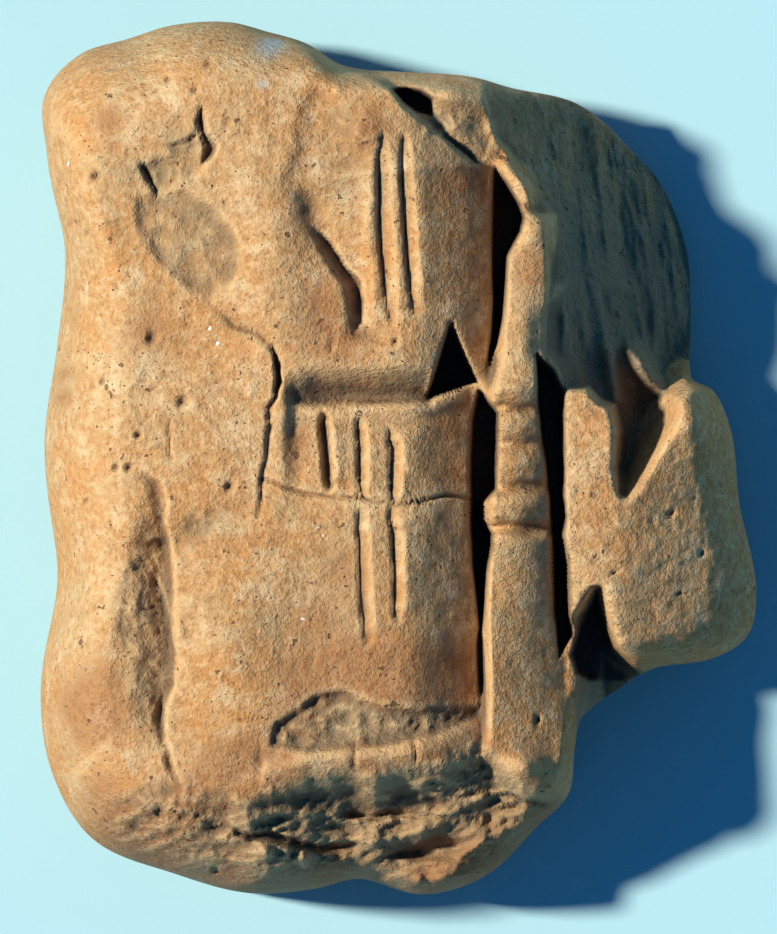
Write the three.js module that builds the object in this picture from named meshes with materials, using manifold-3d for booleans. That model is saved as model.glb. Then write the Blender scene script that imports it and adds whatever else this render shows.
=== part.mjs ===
// A small clay tablet: a cushion-shaped lump of fired clay lying face up, inscribed with rows of shallow
// strokes, its right edge pinched into bars and a squeezed-out lobe, its lower end broken away.
// Millimetres, +Z out of the face, +Y towards the upper end. The origin is on the resting surface.

import * as THREE from "three";
import Module from "manifold-3d";

// ---- driving dimensions ------------------------------------------------------------------------------

const HUB = { x: -0.5, y: 0 }; // the point that the outline is measured from
const CROWN = 17; // height of the face at its highest
const CELLS = 50; // cells across the face, from rim to rim
const UNDER_RINGS = 5; // steps of the roll from the rim down to the resting facet
const REST_SHARE = 0.64; // resting facet's share of the outline's reach
const RIM_CROWDING = 1.2; // how strongly the cells gather towards the rim
const ROLL_FULLNESS = 2.2; // 2 rounds the rim as a quarter circle, more keeps it fuller
const SHOULDER_SOFTNESS = 0.5;
const SHOULDER_CLIFF = 3.5; // rise for each step inwards from the foot of the cliff
const CLIFF_FOOT = 0.35; // how far beyond the shoulder its cliff meets the flank
const LOBE_SOFTNESS = 0.3;
const LOBE_WALL = 1.2; // width of the wall around the lobe
const CUTTER_HEADROOM = 1.5; // how far a cutting solid stands clear of the surface
const STROKE_TAPER = [[0, 0.5], [0.15, 1], [0.7, 1], [1, 0.15]]; // share of the depth along a stroke

// Outline, anticlockwise: x, y, height of the widest ring, width of the rounding from face to ring.
const OUTLINE = [
  [15.35, 7.5, 3.3, 1.4], [15.1, 11.2, 3.0, 1.4], [13.6, 14.8, 2.9, 1.2], [12.0, 16.5, 3.4, 0.9],
  [10.6, 17.9, 4.4, 0.8], [9.0, 18.85, 6.0, 0.8], [6.0, 19.45, 8.5, 1.0], [3.9, 20.05, 8.0, 1.6],
  [0.0, 20.4, 6.0, 1.6], [-3.0, 20.72, 6.0, 1.8], [-5.0, 21.9, 6.5, 2.6], [-7.0, 22.5, 6.5, 3.6],
  [-9.0, 23.0, 6.5, 4.4], [-12.0, 22.85, 6.0, 4.6], [-14.4, 22.15, 5.0, 5.0], [-17.0, 21.3, 4.5, 5.0],
  [-18.8, 19.0, 5.5, 4.6], [-18.6, 16.0, 6.5, 4.2], [-17.65, 11.0, 7.0, 4.4], [-18.05, 6.0, 7.0, 4.8],
  [-18.72, 1.0, 7.0, 5.0], [-18.15, -4.6, 7.0, 4.8], [-18.15, -7.4, 7.0, 4.8], [-18.95, -12.5, 6.0, 5.0],
  [-18.35, -16.6, 5.0, 5.0], [-16.2, -20.1, 4.0, 4.4], [-12.0, -21.9, 3.0, 3.4], [-8.0, -22.97, 2.2, 2.8],
  [-4.4, -22.72, 2.4, 1.8], [-2.1, -22.2, 3.0, 1.4], [1.2, -23.0, 3.6, 1.3], [4.5, -22.0, 4.2, 1.4],
  [7.2, -19.4, 5.0, 1.4], [8.9, -17.6, 5.5, 1.3], [9.2, -15.2, 5.5, 1.4], [9.6, -13.6, 6.0, 1.6],
  [11.5, -12.1, 6.0, 2.2], [13.5, -11.0, 5.5, 2.4], [16.5, -10.5, 5.5, 3.0], [18.3, -9.3, 5.5, 3.2],
  [18.75, -7.0, 5.5, 3.2], [17.9, -2.5, 5.5, 2.8], [17.4, 1.6, 5.6, 2.4], [16.5, 3.6, 5.2, 2.2],
  [15.35, 4.3, 4.8, 2.2],
];

// Edge where the face ends above the right flank, from the upper end to the lower.
const SHOULDER = [
  [3.2, 21.5], [4.0, 19.6], [4.4, 18.0], [4.65, 16.9], [5.5, 16.0], [6.4, 15.1], [7.0, 14.1], [7.25, 13.2],
  [8.0, 12.6], [8.0, 11.4], [7.65, 9.5], [7.35, 7.5], [7.25, 5.2], [7.9, 2.0], [8.2, -2.0], [8.5, -6.0],
  [8.75, -9.0], [8.95, -12.0], [9.2, -15.0], [9.3, -19.0],
];

// Edge of the face above the strap of clay at the upper right.
const STRAP_EDGE = [
  [-4.6, 22.2], [-3, 20.75], [-1.6, 19.9], [-0.4, 19.2], [0.2, 18.35], [1.2, 17.5], [2.5, 16.5],
  [4.2, 15.15],
  [4.9, 15.1],
];

// Foot of the squeezed-out pillar and lobe, and the pillar's height.
const LOBE_FOOT = [
  [7.2, 3.3], [8.7, 3.9], [9.9, 3.8], [11.2, 3.9], [13.2, 4.1], [15, 4.2], [16.2, 4.3], [20, 4.3],
  [20, -13.5], [10.5, -14], [7.2, -13],
];
const PILLAR_TOP = 13.75;

// ---- curves and blends -------------------------------------------------------------------------------

function ramp(t) {
  const s = Math.min(Math.max(t, 0), 1);
  return s * s * (3 - 2 * s);
}

function softPlus(v, r) {
  return Math.log1p(Math.exp(-Math.abs(v) / r)) * r + Math.max(v, 0);
}

function softMin(a, b, r) {
  const h = Math.min(Math.max(0.5 + (0.5 * (b - a)) / r, 0), 1);
  return b + (a - b) * h - r * h * (1 - h);
}

function softMax(a, b, r) {
  return -softMin(-a, -b, r);
}

// Value at v between rows of [key, value], keys rising.
function between(v, rows) {
  if (v <= rows[0][0]) return rows[0][1];
  for (let i = 1; i < rows.length; i++) {
    const [k0, w0] = rows[i - 1];
    const [k1, w1] = rows[i];
    if (v <= k1) return w0 + ((w1 - w0) * (v - k0)) / (k1 - k0);
  }
  return rows[rows.length - 1][1];
}

// Rounded swelling (or hollow, with a negative height) with two reaches, turned by some degrees.
function mound(x, y, cx, cy, reachX, reachY, turn, height) {
  const c = Math.cos(THREE.MathUtils.degToRad(turn));
  const s = Math.sin(THREE.MathUtils.degToRad(turn));
  const u = ((x - cx) * c + (y - cy) * s) / reachX;
  const v = ((y - cy) * c - (x - cx) * s) / reachY;
  return height * Math.exp(-1.5 * (u * u + v * v));
}

// Nearest point of a path: the distance, positive on the left of its travel, and the share of the way.
function along(x, y, path) {
  let best = Infinity;
  let side = 1;
  let run = 0;
  let place = 0;
  for (let i = 1; i < path.length; i++) {
    const [ax, ay] = path[i - 1];
    const length = Math.hypot(path[i][0] - ax, path[i][1] - ay);
    const ux = (path[i][0] - ax) / length;
    const uy = (path[i][1] - ay) / length;
    const t = Math.min(Math.max((x - ax) * ux + (y - ay) * uy, 0), length);
    const away = Math.hypot(x - ax - ux * t, y - ay - uy * t);
    if (away < best) {
      best = away;
      side = ux * (y - ay) - uy * (x - ax) >= 0 ? 1 : -1;
      place = run + t;
    }
    run += length;
  }
  return { distance: best * side, share: place / run };
}

// Raised ridge along a path, fading at its ends.
function ridge(x, y, path, width, height) {
  const { distance, share } = along(x, y, path);
  const size = between(share, [[0, 0.4], [0.2, 1], [0.8, 1], [1, 0.4]]);
  return height * size * Math.exp(-((distance / width) ** 2));
}

// Depth of a soft-shouldered trough along a path running down the face: wall on its right hand, then left.
function trough(x, y, path, [wallRight, wallLeft], depth) {
  const { distance, share } = along(x, y, path);
  const size = between(share, [[0, 0.2], [0.3, 1], [0.7, 1], [1, 0.2]]);
  const wall = (distance < 0 ? wallRight : wallLeft) * (0.5 + 0.5 * size);
  return depth * size * ramp(1 - Math.abs(distance) / wall);
}

// How far a point lies inside a closed outline, negative outside.
function insideBy(x, y, corners) {
  let near = Infinity;
  let inside = false;
  corners.forEach(([ax, ay], i) => {
    const [bx, by] = corners[(i + 1) % corners.length];
    const ux = bx - ax;
    const uy = by - ay;
    const t = Math.min(Math.max(((x - ax) * ux + (y - ay) * uy) / (ux * ux + uy * uy), 0), 1);
    near = Math.min(near, Math.hypot(x - ax - ux * t, y - ay - uy * t));
    if (ay > y !== by > y && x < ax + ((y - ay) / (by - ay)) * ux) inside = !inside;
  });
  return inside ? near : -near;
}

// ---- outline -----------------------------------------------------------------------------------------

// Smooth closed curve through the outline's rows: reach, ring height and rounding width at an angle.
const RIM = (() => {
  const rows = OUTLINE.map(([x, y, ring, roll]) => {
    const angle = Math.atan2(y - HUB.y, x - HUB.x);
    return { angle, values: [Math.hypot(x - HUB.x, y - HUB.y), ring, roll] };
  });
  rows.sort((a, b) => a.angle - b.angle);
  return rows;
})();

function rimAt(angle) {
  const count = RIM.length;
  const turn = 2 * Math.PI;
  let i = RIM.findIndex((row) => row.angle > angle);
  if (i < 0) i = count;
  const row = (k) => RIM[(k + count) % count];
  const place = (k) => row(k).angle + turn * Math.floor(k / count);
  const [a0, a1, a2, a3] = [i - 2, i - 1, i, i + 1].map(place);
  const h = a2 - a1;
  const t = (angle - a1) / h;
  const [reach, ring, roll] = [0, 1, 2].map((k) => {
    const [v0, v1, v2, v3] = [i - 2, i - 1, i, i + 1].map((j) => row(j).values[k]);
    const start = (h * (v2 - v0)) / (a2 - a0);
    const end = (h * (v3 - v1)) / (a3 - a1);
    const rise = t * t * (3 - 2 * t);
    return (1 - rise) * v1 + rise * v2 + t * (1 - t) * ((1 - t) * start - t * end);
  });
  return { reach, ring, roll };
}

// ---- the broad surface -------------------------------------------------------------------------------

// Line of the deep cut between the inscribed panel and the bars.
function cutLine(y) {
  return between(y, [[-12.5, 4.3], [-8, 4.2], [-3.5, 4.4], [3, 4.4], [5, 4.9], [8, 5.2], [11, 5.2], [15, 5]]);
}

// Fall of the inscribed panel to the right, ever steeper towards the cut.
function panelDrop(x, y) {
  const lean = between(y, [
    [-16, 0.2], [-13.5, 0.85], [-10.5, 0.95], [-8, 0.8], [-6, 0.76], [2, 0.7], [6, 0.6], [8, 0.42], [15, 0.4],
    [17, 0.5],
  ]);
  const bend = between(y, [[-16, 0], [-8, 0.02], [2, 0.03], [6, 0.05], [9, 0.085], [15, 0.085], [17, 0]]);
  const u = softPlus(Math.min(x, 5.3) - 0.7, 0.4);
  return lean * u + bend * u * u;
}

// The row of bars beyond the cut, each rounding off to its right.
function barTop(x, y) {
  const top = between(y, [[-16, 14.2], [-12, 14.8], [-5, 15], [8, 15.1], [12, 15], [15, 14.3]]);
  const tilt = between(y, [[-16, 0.65], [-12, 0.62], [-7, 0.35], [-4, 0.15], [0, 0.1], [5, 0.05], [12, 0]]);
  const bend = between(y, [[-16, 0.05], [-12, 0.08], [-7, 0.15], [-3, 0.3], [5, 0.3], [12, 0.25], [14, 0.1]]);
  const u = x - cutLine(y) - 0.6;
  return top - tilt * u - bend * Math.min(Math.max(u - 0.5, 0), 3.2) ** 2;
}

// The gently crowned face, its panel leaning to the right, and the row of bars beyond the cut.
function face(x, y) {
  const crown = CROWN - 0.0045 * (x + 8) ** 2 - 0.0016 * y * y;
  const panel = crown - panelDrop(x, y);
  const beyond = ramp((x - cutLine(y) + 0.1) / 0.6) * ramp(16 - y);
  return panel + (barTop(x, y) - panel) * beyond;
}

// Thumb-pressed swellings and dents of the face.
function swellings(x, y) {
  return (
    mound(x, y, -15.8, -9, 2.2, 7, 0, 0.3) +
    mound(x, y, -8.8, -9.8, 3.4, 7, 0, 0.75) +
    mound(x, y, -6.6, 10, 2.2, 6, 5, 0.7) +
    mound(x, y, -10.5, 20, 7, 3, -8, 0.3) +
    mound(x, y, -12, 0, 5, 4.5, 0, 0.15) +
    mound(x, y, -12, 6, 2.6, 1.6, -20, -0.18) +
    mound(x, y, -9.5, -2.9, 3.2, 1.5, 20, -0.28)
  );
}

// Drop from the face's upper right edge to the strap of clay along the upper end, lumps and all.
function strapDrop(x, y) {
  const { distance, share } = along(x, y, STRAP_EDGE);
  const low = between(share, [[0, 0.6], [0.25, 1.6], [0.42, 2.6], [0.58, 1.6], [0.75, 0.9], [1, 0.2]]);
  const beyond = ramp((distance + 0.2) / 0.6) * ramp((5.6 - x) / 0.8) * ramp((y - 13) / 2);
  const lumps = mound(x, y, 2.6, 19.1, 2.4, 0.8, -12, 1.3) + mound(x, y, 3, 17.4, 1.4, 0.8, -50, 0.6);
  return (low - lumps) * beyond;
}

// Line along which the face breaks off towards the lower end.
function endLip(x) {
  return between(x, [
    [-19, -18.5], [-15, -17.6], [-11.5, -16.9], [-9.5, -17.2], [-8, -17.6], [-6.8, -17], [-5, -16.3],
    [-3, -16.1], [0, -16], [2, -15.5], [4.2, -14.5], [5.2, -15.8], [6.4, -17.2], [8, -17.7], [9.5, -18],
  ]);
}

// Fall of the broken lower end, from its lip down to a lower shelf.
function endDrop(x, y) {
  const fall = between(x, [
    [-18, 0.4], [-14, 0.9], [-10, 1.3], [-6.5, 1.8], [-4, 3.4], [-1, 4.6], [1.5, 4.6], [3.2, 3.6], [5.2, 2.2],
    [9, 1.8],
  ]);
  const width = between(x, [[-16, 3], [-8, 2.4], [-3, 2.6], [2, 3], [4, 3.4], [6, 2.4]]);
  const shelf = between(x, [[-14, 0.3], [-6, 0.5], [8, 0.6]]);
  const below = endLip(x) - y;
  return fall * ramp(below / width) + shelf * Math.max(below - width, 0);
}

// Lip above the broken end, and the lumps and ridges left standing below it.
function endLumps(x, y) {
  const lip = [[-7.2, -16.4], [-5, -15.6], [-3, -15.45], [0, -15.35], [2, -14.9], [4.4, -13.6]];
  return (
    ridge(x, y, lip, 0.6, 0.45) +
    ridge(x, y, [[-2, -20.3], [0.3, -19.8], [2, -19.2]], 0.5, 0.6) +
    mound(x, y, 6.5, -16.1, 1.3, 0.8, -10, 1) +
    mound(x, y, 3, -18.3, 1.6, 0.6, 15, 0.5) +
    mound(x, y, 2.8, -22, 2.4, 0.7, 8, 1)
  );
}

// Smooth mass left of the upper strokes, ending in a bank that comes back to the level of the face.
function leftBank(x, y) {
  const bank = [
    [-5.8, 14.4], [-5.1, 12.6], [-4.3, 11.4], [-3.5, 10.4], [-2.8, 9.4], [-2.4, 8.4], [-2.4, 5.6],
  ];
  const { distance, share } = along(x, y, bank);
  const ends = ramp(Math.min(share, 1 - share) / 0.12);
  return 0.85 * ends * ramp((distance + 0.8) / 1.6) * Math.exp(-Math.max(distance, 0) / 2.2);
}

// The right flank, falling away to the right below the cliff of the shoulder, and a web running down it.
function flank(x, y) {
  const foot = between(y, [[-19, 9.2], [-9, 8.6], [5, 7.5], [9, 7.3], [12, 6.2], [15.5, 4.3], [20, 3.9]]);
  const top = between(y, [[-19, 12.4], [-12, 13.6], [-6, 14.2], [12, 14.3], [20, 13.6]]);
  const steep = between(y, [[-16, 1.6], [-12, 2.2], [-8, 2], [-5, 1.2], [20, 1]]);
  const fall = between(x - foot, [
    [-20, -30], [0, 0], [1, 1.9], [3, 4.7], [5, 7.2], [7, 9.3], [9, 11], [12, 13.2],
  ]);
  const web = ridge(x, y, [[10.7, 6.4], [11.3, 3.2]], 0.8, 1.2);
  return { distance: along(x, y, SHOULDER).distance, height: top - steep * fall + web };
}

// Pillar and lobe of clay squeezed out over the right flank.
function lobe(x, y) {
  const top =
    PILLAR_TOP - 0.05 * (x - 8.6) - 0.68 * softPlus(x - 11.4, 0.35) - 0.015 * Math.max(-4 - y, 0) ** 1.7 +
    mound(x, y, 15.3, 1.9, 1.7, 1.9, 0, 1.3);
  const inside = insideBy(x, y, LOBE_FOOT);
  return top - 6 * ramp(0.5 - inside / LOBE_WALL) - 3 * Math.max(-inside - LOBE_WALL / 2, 0);
}

function ground(x, y) {
  const pressed = face(x, y) + swellings(x, y) - leftBank(x, y);
  const plain = pressed - strapDrop(x, y) - endDrop(x, y) + endLumps(x, y);
  const side = flank(x, y);
  const cliff = side.height + SHOULDER_CLIFF * Math.max(CLIFF_FOOT - side.distance, 0);
  const z = softMin(plain, cliff, SHOULDER_SOFTNESS);
  return x > LOBE_FOOT[0][0] ? softMax(z, lobe(x, y), LOBE_SOFTNESS) : z;
}

// ---- hollows and cuts --------------------------------------------------------------------------------

// Broad hollows of the face: scar of the lower end, and the eroded patch.
const HOLLOWS = [
  {
    wall: 0.6,
    depth: 0.85,
    corners: [
      [-6.9, -14.9], [-6.5, -13.7], [-4.3, -12.2], [-2.9, -12], [-1.6, -12.7], [0.5, -13], [4.2, -12.8],
      [2, -14.4], [-3, -15.1], [-5, -15.3],
    ],
  },
  {
    wall: 0.8,
    depth: 0.3,
    corners: [
      [-14, 13.6], [-13.2, 11], [-11.2, 8.9], [-9.8, 8], [-8.3, 9.6], [-8.25, 11], [-9.6, 13.1], [-11, 14],
    ],
  },
];

// Worn channel down the lower left, in two reaches: a long wall on its left, a short one on its right.
const CHANNEL = [
  { walls: [2.5, 0.7], depth: 1.35, path: [[-12.3, -2.6], [-12.35, -5.6], [-12.2, -7.2], [-12, -8.8]] },
  {
    walls: [2.4, 0.6],
    depth: 1.15,
    path: [[-12.7, -6.8], [-12.1, -8.6], [-11.9, -10.2], [-12.1, -11.8], [-12.5, -13], [-12.35, -14.4]],
  },
];

// Deep cuts with upright walls, and the height of each floor.
const DEEP_CUTS = [
  { floor: 11.6, corners: [[-0.45, 19.3], [1, 19.25], [1.6, 18.8], [1.6, 18], [0.8, 18.2], [0.1, 18.65]] },
  {
    floor: 9.0,
    corners: [
      [4.9, 15.2], [4.78, 12], [4.85, 8], [4.55, 4.8], [5.05, 6], [5.5, 9], [5.62, 10.6], [6.3, 11.9],
      [6.5, 12.6], [6.2, 13.4], [5.6, 14.4],
    ],
  },
  { floor: 10.0, corners: [[2.6, 7.15], [1.35, 3.1], [4, 4.05]] },
  {
    floor: 9.8,
    corners: [
      [4.1, 3.7], [3.62, -1], [3.75, -5.5], [4.2, -9.3], [4.5, -6], [4.8, -3.9], [4.3, -2.3], [5, -1.6],
      [5.15, 2.4],
    ],
  },
  {
    floor: 9.5,
    corners: [
      [7.1, 5.5], [7.15, 3], [7.6, -0.5], [7.95, -5], [8, -8], [8.3, -10.4], [9, -9.2], [8.75, -5.5],
      [8.5, -4], [8.6, 0], [8.6, 3.4],
    ],
  },
  {
    floor: 7.2,
    corners: [
      [10.4, 3.7], [11.2, 2.8], [11.45, 1.4], [11.4, -0.6], [11.65, -1.7], [12.5, -0.2], [13.2, 1],
      [13.9, 2.3], [14.3, 3.4], [14.6, 4.6], [11, 5],
    ],
  },
  {
    floor: 7.6,
    corners: [
      [8.9, -10.4], [9.4, -8.6], [10.3, -6.9], [10.6, -8], [11.2, -9.9], [12.2, -10.9], [14.4, -12.4],
      [10.2, -14.6], [9.35, -12.6],
    ],
  },
];

// Strokes pressed with a stylus, the valley beside the upper ones, the long ledge, the creases across the
// bars and the cracks of the lower end. Each path runs down the face or to the right, and its two walls are
// given as widths: first the one on its right hand, then the other.
const STROKES = [
  { walls: [0.2, 0.65], depth: 0.6, path: [[-1.1, 16.6], [-1.12, 14.5], [-0.92, 10], [-0.6, 7.3]] },
  { walls: [0.2, 0.6], depth: 0.6, path: [[0.08, 16.6], [0.1, 14.5], [0.4, 10], [0.62, 7.8]] },
  { walls: [0.35, 0.35], depth: 0.9, path: [[-4, 2.1], [-3.8, 0.6], [-3.7, -1.4]] },
  { walls: [0.2, 0.5], depth: 0.7, path: [[-2.25, 2], [-2.12, 0.4], [-2.12, -1.7]] },
  { walls: [0.2, 0.6], depth: 0.7, path: [[-0.65, 1.3], [-0.42, 0.6], [-0.48, -2.1]] },
  { walls: [0.2, 0.6], depth: 0.7, path: [[-2.25, -2.9], [-2.12, -5], [-1.85, -9.3]] },
  { walls: [0.2, 0.55], depth: 0.7, path: [[-0.6, -2.8], [-0.28, -6], [-0.3, -8.2]] },
  { walls: [0.8, 0.3], depth: 0.8, path: [[-4.2, 11.9], [-3, 10.1], [-2.25, 9.2], [-2.05, 7.1]] },
  { walls: [0.4, 1.9], depth: 1.2, path: [[-6, 3], [-2, 3.1], [1.2, 3.15]] },
  { walls: [0.3, 0.3], depth: 0.6, path: [[5.4, 2.6], [6.9, 2.65]] },
  { walls: [0.4, 0.4], depth: 0.6, path: [[5.5, 0.7], [7.2, 0.75]] },
  { walls: [0.4, 0.4], depth: 0.7, path: [[5.3, -1.5], [7.4, -1.45]] },
  { walls: [0.3, 0.4], depth: 1.1, path: [[5.1, -3.75], [7.6, -3.5]] },
  { walls: [0.5, 0.6], depth: 0.8, path: [[-8.5, -19.4], [-6, -19.9], [-2.3, -20.2]] },
];

function hollows(x, y) {
  const sunk = HOLLOWS.map(({ corners, wall, depth }) => depth * ramp(insideBy(x, y, corners) / wall + 0.2));
  const worn = CHANNEL.map(({ path, walls, depth }) => trough(x, y, path, walls, depth));
  return [...sunk, ...worn].reduce((sum, d) => sum + d, 0);
}

// The face before the rounding towards the rim.
function faceHeight(x, y) {
  return ground(x, y) - hollows(x, y);
}

function surface(x, y, angle, reach) {
  const rim = rimAt(angle);
  const inward = Math.min(Math.max((rim.reach - reach) / rim.roll, 0), 1);
  const rounding = 1 - Math.sqrt(Math.max(1 - (1 - inward) ** ROLL_FULLNESS, 0));
  const z = Math.max(faceHeight(x, y), rim.ring);
  return z + (rim.ring - z) * rounding;
}

// ---- solids ------------------------------------------------------------------------------------------

const wasm = await Module();
wasm.setup();

// A closed mesh given as flat lists becomes a solid, turned outside out if its faces point inwards.
function solidOf(vertices, faces) {
  const vertProperties = new Float32Array(vertices);
  const make = (corners) =>
    new wasm.Manifold(new wasm.Mesh({ numProp: 3, vertProperties, triVerts: new Uint32Array(corners) }));
  const solid = make(faces);
  if (solid.volume() > 0) return solid;
  const turned = [];
  for (let i = 0; i < faces.length; i += 3) turned.push(faces[i], faces[i + 2], faces[i + 1]);
  return make(turned);
}

// Place on the disc for a place on the square of cells, as a share of the reach and an angle.
function squareToDisc(u, v) {
  if (u === 0 && v === 0) return { share: 0, angle: 0 };
  const quarter = Math.PI / 4;
  let angle;
  if (Math.abs(u) >= Math.abs(v)) angle = quarter * (v / u) + (u < 0 ? Math.PI : 0);
  else angle = Math.PI / 2 - quarter * (u / v) + (v < 0 ? Math.PI : 0);
  const wrapped = Math.atan2(Math.sin(angle), Math.cos(angle));
  return { share: Math.max(Math.abs(u), Math.abs(v)), angle: wrapped };
}

// The lump without its cuts: a grid over the face, a rolled under side and a flat resting facet.
function lump() {
  const vertices = [];
  const faces = [];
  const index = [];
  for (let i = 0; i <= CELLS; i++) {
    index.push([]);
    for (let j = 0; j <= CELLS; j++) {
      const place = squareToDisc((2 * i) / CELLS - 1, (2 * j) / CELLS - 1);
      const share = 1 - (1 - place.share) ** RIM_CROWDING;
      const reach = share * rimAt(place.angle).reach;
      const x = HUB.x + reach * Math.cos(place.angle);
      const y = HUB.y + reach * Math.sin(place.angle);
      index[i].push(vertices.length / 3);
      vertices.push(x, y, surface(x, y, place.angle, reach));
    }
  }
  for (let i = 0; i < CELLS; i++) {
    for (let j = 0; j < CELLS; j++) {
      const [a, b, c, d] = [index[i][j], index[i + 1][j], index[i + 1][j + 1], index[i][j + 1]];
      const rising = (2 * i + 1 - CELLS) * (2 * j + 1 - CELLS) > 0;
      if (rising) faces.push(a, b, c, a, c, d);
      else faces.push(a, b, d, b, c, d);
    }
  }
  underSide(vertices, faces, rimLoop(index));
  return solidOf(vertices, faces);
}

// Indices of the rim's vertices, anticlockwise.
function rimLoop(index) {
  const loop = [];
  for (let i = 0; i < CELLS; i++) loop.push(index[i][0]);
  for (let j = 0; j < CELLS; j++) loop.push(index[CELLS][j]);
  for (let i = CELLS; i > 0; i--) loop.push(index[i][CELLS]);
  for (let j = CELLS; j > 0; j--) loop.push(index[0][j]);
  return loop;
}

function underSide(vertices, faces, loop) {
  let outer = loop;
  for (let k = 1; k <= UNDER_RINGS; k++) {
    const turn = (Math.PI / 2) * (k / UNDER_RINGS);
    const inner = loop.map((v) => {
      const [x, y, z] = vertices.slice(3 * v, 3 * v + 3);
      const share = REST_SHARE + (1 - REST_SHARE) * Math.cos(turn);
      vertices.push(HUB.x + (x - HUB.x) * share, HUB.y + (y - HUB.y) * share, z * (1 - Math.sin(turn)));
      return vertices.length / 3 - 1;
    });
    outer.forEach((a, n) => {
      const m = (n + 1) % outer.length;
      faces.push(a, inner[n], inner[m], a, inner[m], outer[m]);
    });
    outer = inner;
  }
  const facet = outer.map((v) => new THREE.Vector2(vertices[3 * v], vertices[3 * v + 1]));
  for (const [a, b, c] of THREE.ShapeUtils.triangulateShape(facet, [])) {
    faces.push(outer[a], outer[c], outer[b]);
  }
}

// Upright cutter with a level floor.
function deepCutter({ corners, floor }) {
  const contour = corners.map(([x, y]) => new THREE.Vector2(x, y));
  if (THREE.ShapeUtils.isClockWise(contour)) contour.reverse();
  const count = contour.length;
  const vertices = [];
  contour.forEach(({ x, y }) => vertices.push(x, y, floor));
  contour.forEach(({ x, y }) => vertices.push(x, y, CROWN + CUTTER_HEADROOM));
  const faces = [];
  THREE.ShapeUtils.triangulateShape(contour, []).forEach(([a, b, c]) => {
    faces.push(a, c, b, a + count, b + count, c + count);
  });
  for (let a = 0; a < count; a++) {
    const b = (a + 1) % count;
    faces.push(a, b, b + count, a, b + count, a + count);
  }
  return solidOf(vertices, faces);
}

// Keel-shaped cutter along a path: a sharp bottom, rising at both ends, and two walls that lean outwards.
function strokeCutter({ path, walls, depth }) {
  const curve = new THREE.CatmullRomCurve3(path.map(([x, y]) => new THREE.Vector3(x, y, 0)));
  const steps = 2 * path.length;
  const vertices = [];
  for (let k = 0; k <= steps; k++) {
    const at = curve.getPoint(k / steps);
    const way = curve.getTangent(k / steps);
    const z = ground(at.x, at.y);
    const size = between(k / steps, STROKE_TAPER);
    const [low, high] = walls.map((wall) => wall * (size + CUTTER_HEADROOM / depth));
    const across = new THREE.Vector2(-way.y, way.x);
    vertices.push(at.x - across.x * low, at.y - across.y * low, z + CUTTER_HEADROOM);
    vertices.push(at.x + across.x * high, at.y + across.y * high, z + CUTTER_HEADROOM);
    vertices.push(at.x, at.y, z - depth * size);
  }
  const faces = [0, 1, 2];
  for (let k = 0; k < steps; k++) {
    for (const [p, q] of [[0, 1], [1, 2], [2, 0]]) {
      const [a, b] = [3 * k + p, 3 * k + q];
      faces.push(a, a + 3, b + 3, a, b + 3, b);
    }
  }
  faces.push(3 * steps, 3 * steps + 2, 3 * steps + 1);
  return solidOf(vertices, faces);
}

function geometryOf(solid) {
  const { vertProperties, triVerts } = solid.getMesh();
  const geometry = new THREE.BufferGeometry();
  geometry.setAttribute("position", new THREE.BufferAttribute(new Float32Array(vertProperties), 3));
  geometry.setIndex(new THREE.BufferAttribute(new Uint32Array(triVerts), 1));
  geometry.computeVertexNormals();
  return geometry;
}

function tablet() {
  let solid = lump();
  for (const cut of DEEP_CUTS) solid = solid.subtract(deepCutter(cut));
  for (const stroke of STROKES) solid = solid.subtract(strokeCutter(stroke));
  const geometry = geometryOf(solid);
  geometry.computeBoundingBox();
  const middle = geometry.boundingBox.getCenter(new THREE.Vector3());
  const clay = new THREE.MeshStandardMaterial({ color: 0xd39a62, roughness: 0.85, metalness: 0 });
  const mesh = new THREE.Mesh(geometry, clay);
  mesh.name = "tablet";
  mesh.position.set(-middle.x, -middle.y, -geometry.boundingBox.min.z);
  return mesh;
}

const part = new THREE.Group();
part.add(tablet());

export default part;
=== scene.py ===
"""A small inscribed clay tablet lying face up: the fine surface and its finish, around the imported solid.

Shapes are worked out in millimetres on the face (x to the right, y to the upper end, z out of the face),
as the solid's are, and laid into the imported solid's box in metres.
"""
import math

import bpy
import numpy as np
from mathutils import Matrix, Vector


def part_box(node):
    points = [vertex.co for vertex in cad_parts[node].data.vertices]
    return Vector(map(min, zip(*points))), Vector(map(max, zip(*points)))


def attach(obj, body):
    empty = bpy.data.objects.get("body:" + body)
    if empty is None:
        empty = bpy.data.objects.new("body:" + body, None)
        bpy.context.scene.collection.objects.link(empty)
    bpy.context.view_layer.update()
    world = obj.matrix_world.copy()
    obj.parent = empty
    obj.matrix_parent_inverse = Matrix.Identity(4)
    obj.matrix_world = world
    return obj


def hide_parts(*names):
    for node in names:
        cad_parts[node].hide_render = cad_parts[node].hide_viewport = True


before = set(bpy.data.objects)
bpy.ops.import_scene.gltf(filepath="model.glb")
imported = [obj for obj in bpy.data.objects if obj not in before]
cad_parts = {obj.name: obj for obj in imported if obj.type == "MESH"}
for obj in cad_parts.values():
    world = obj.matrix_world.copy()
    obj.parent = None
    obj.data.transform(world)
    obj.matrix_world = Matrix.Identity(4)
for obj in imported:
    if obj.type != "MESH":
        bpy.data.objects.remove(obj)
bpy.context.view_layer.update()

MM = 0.001

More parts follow.
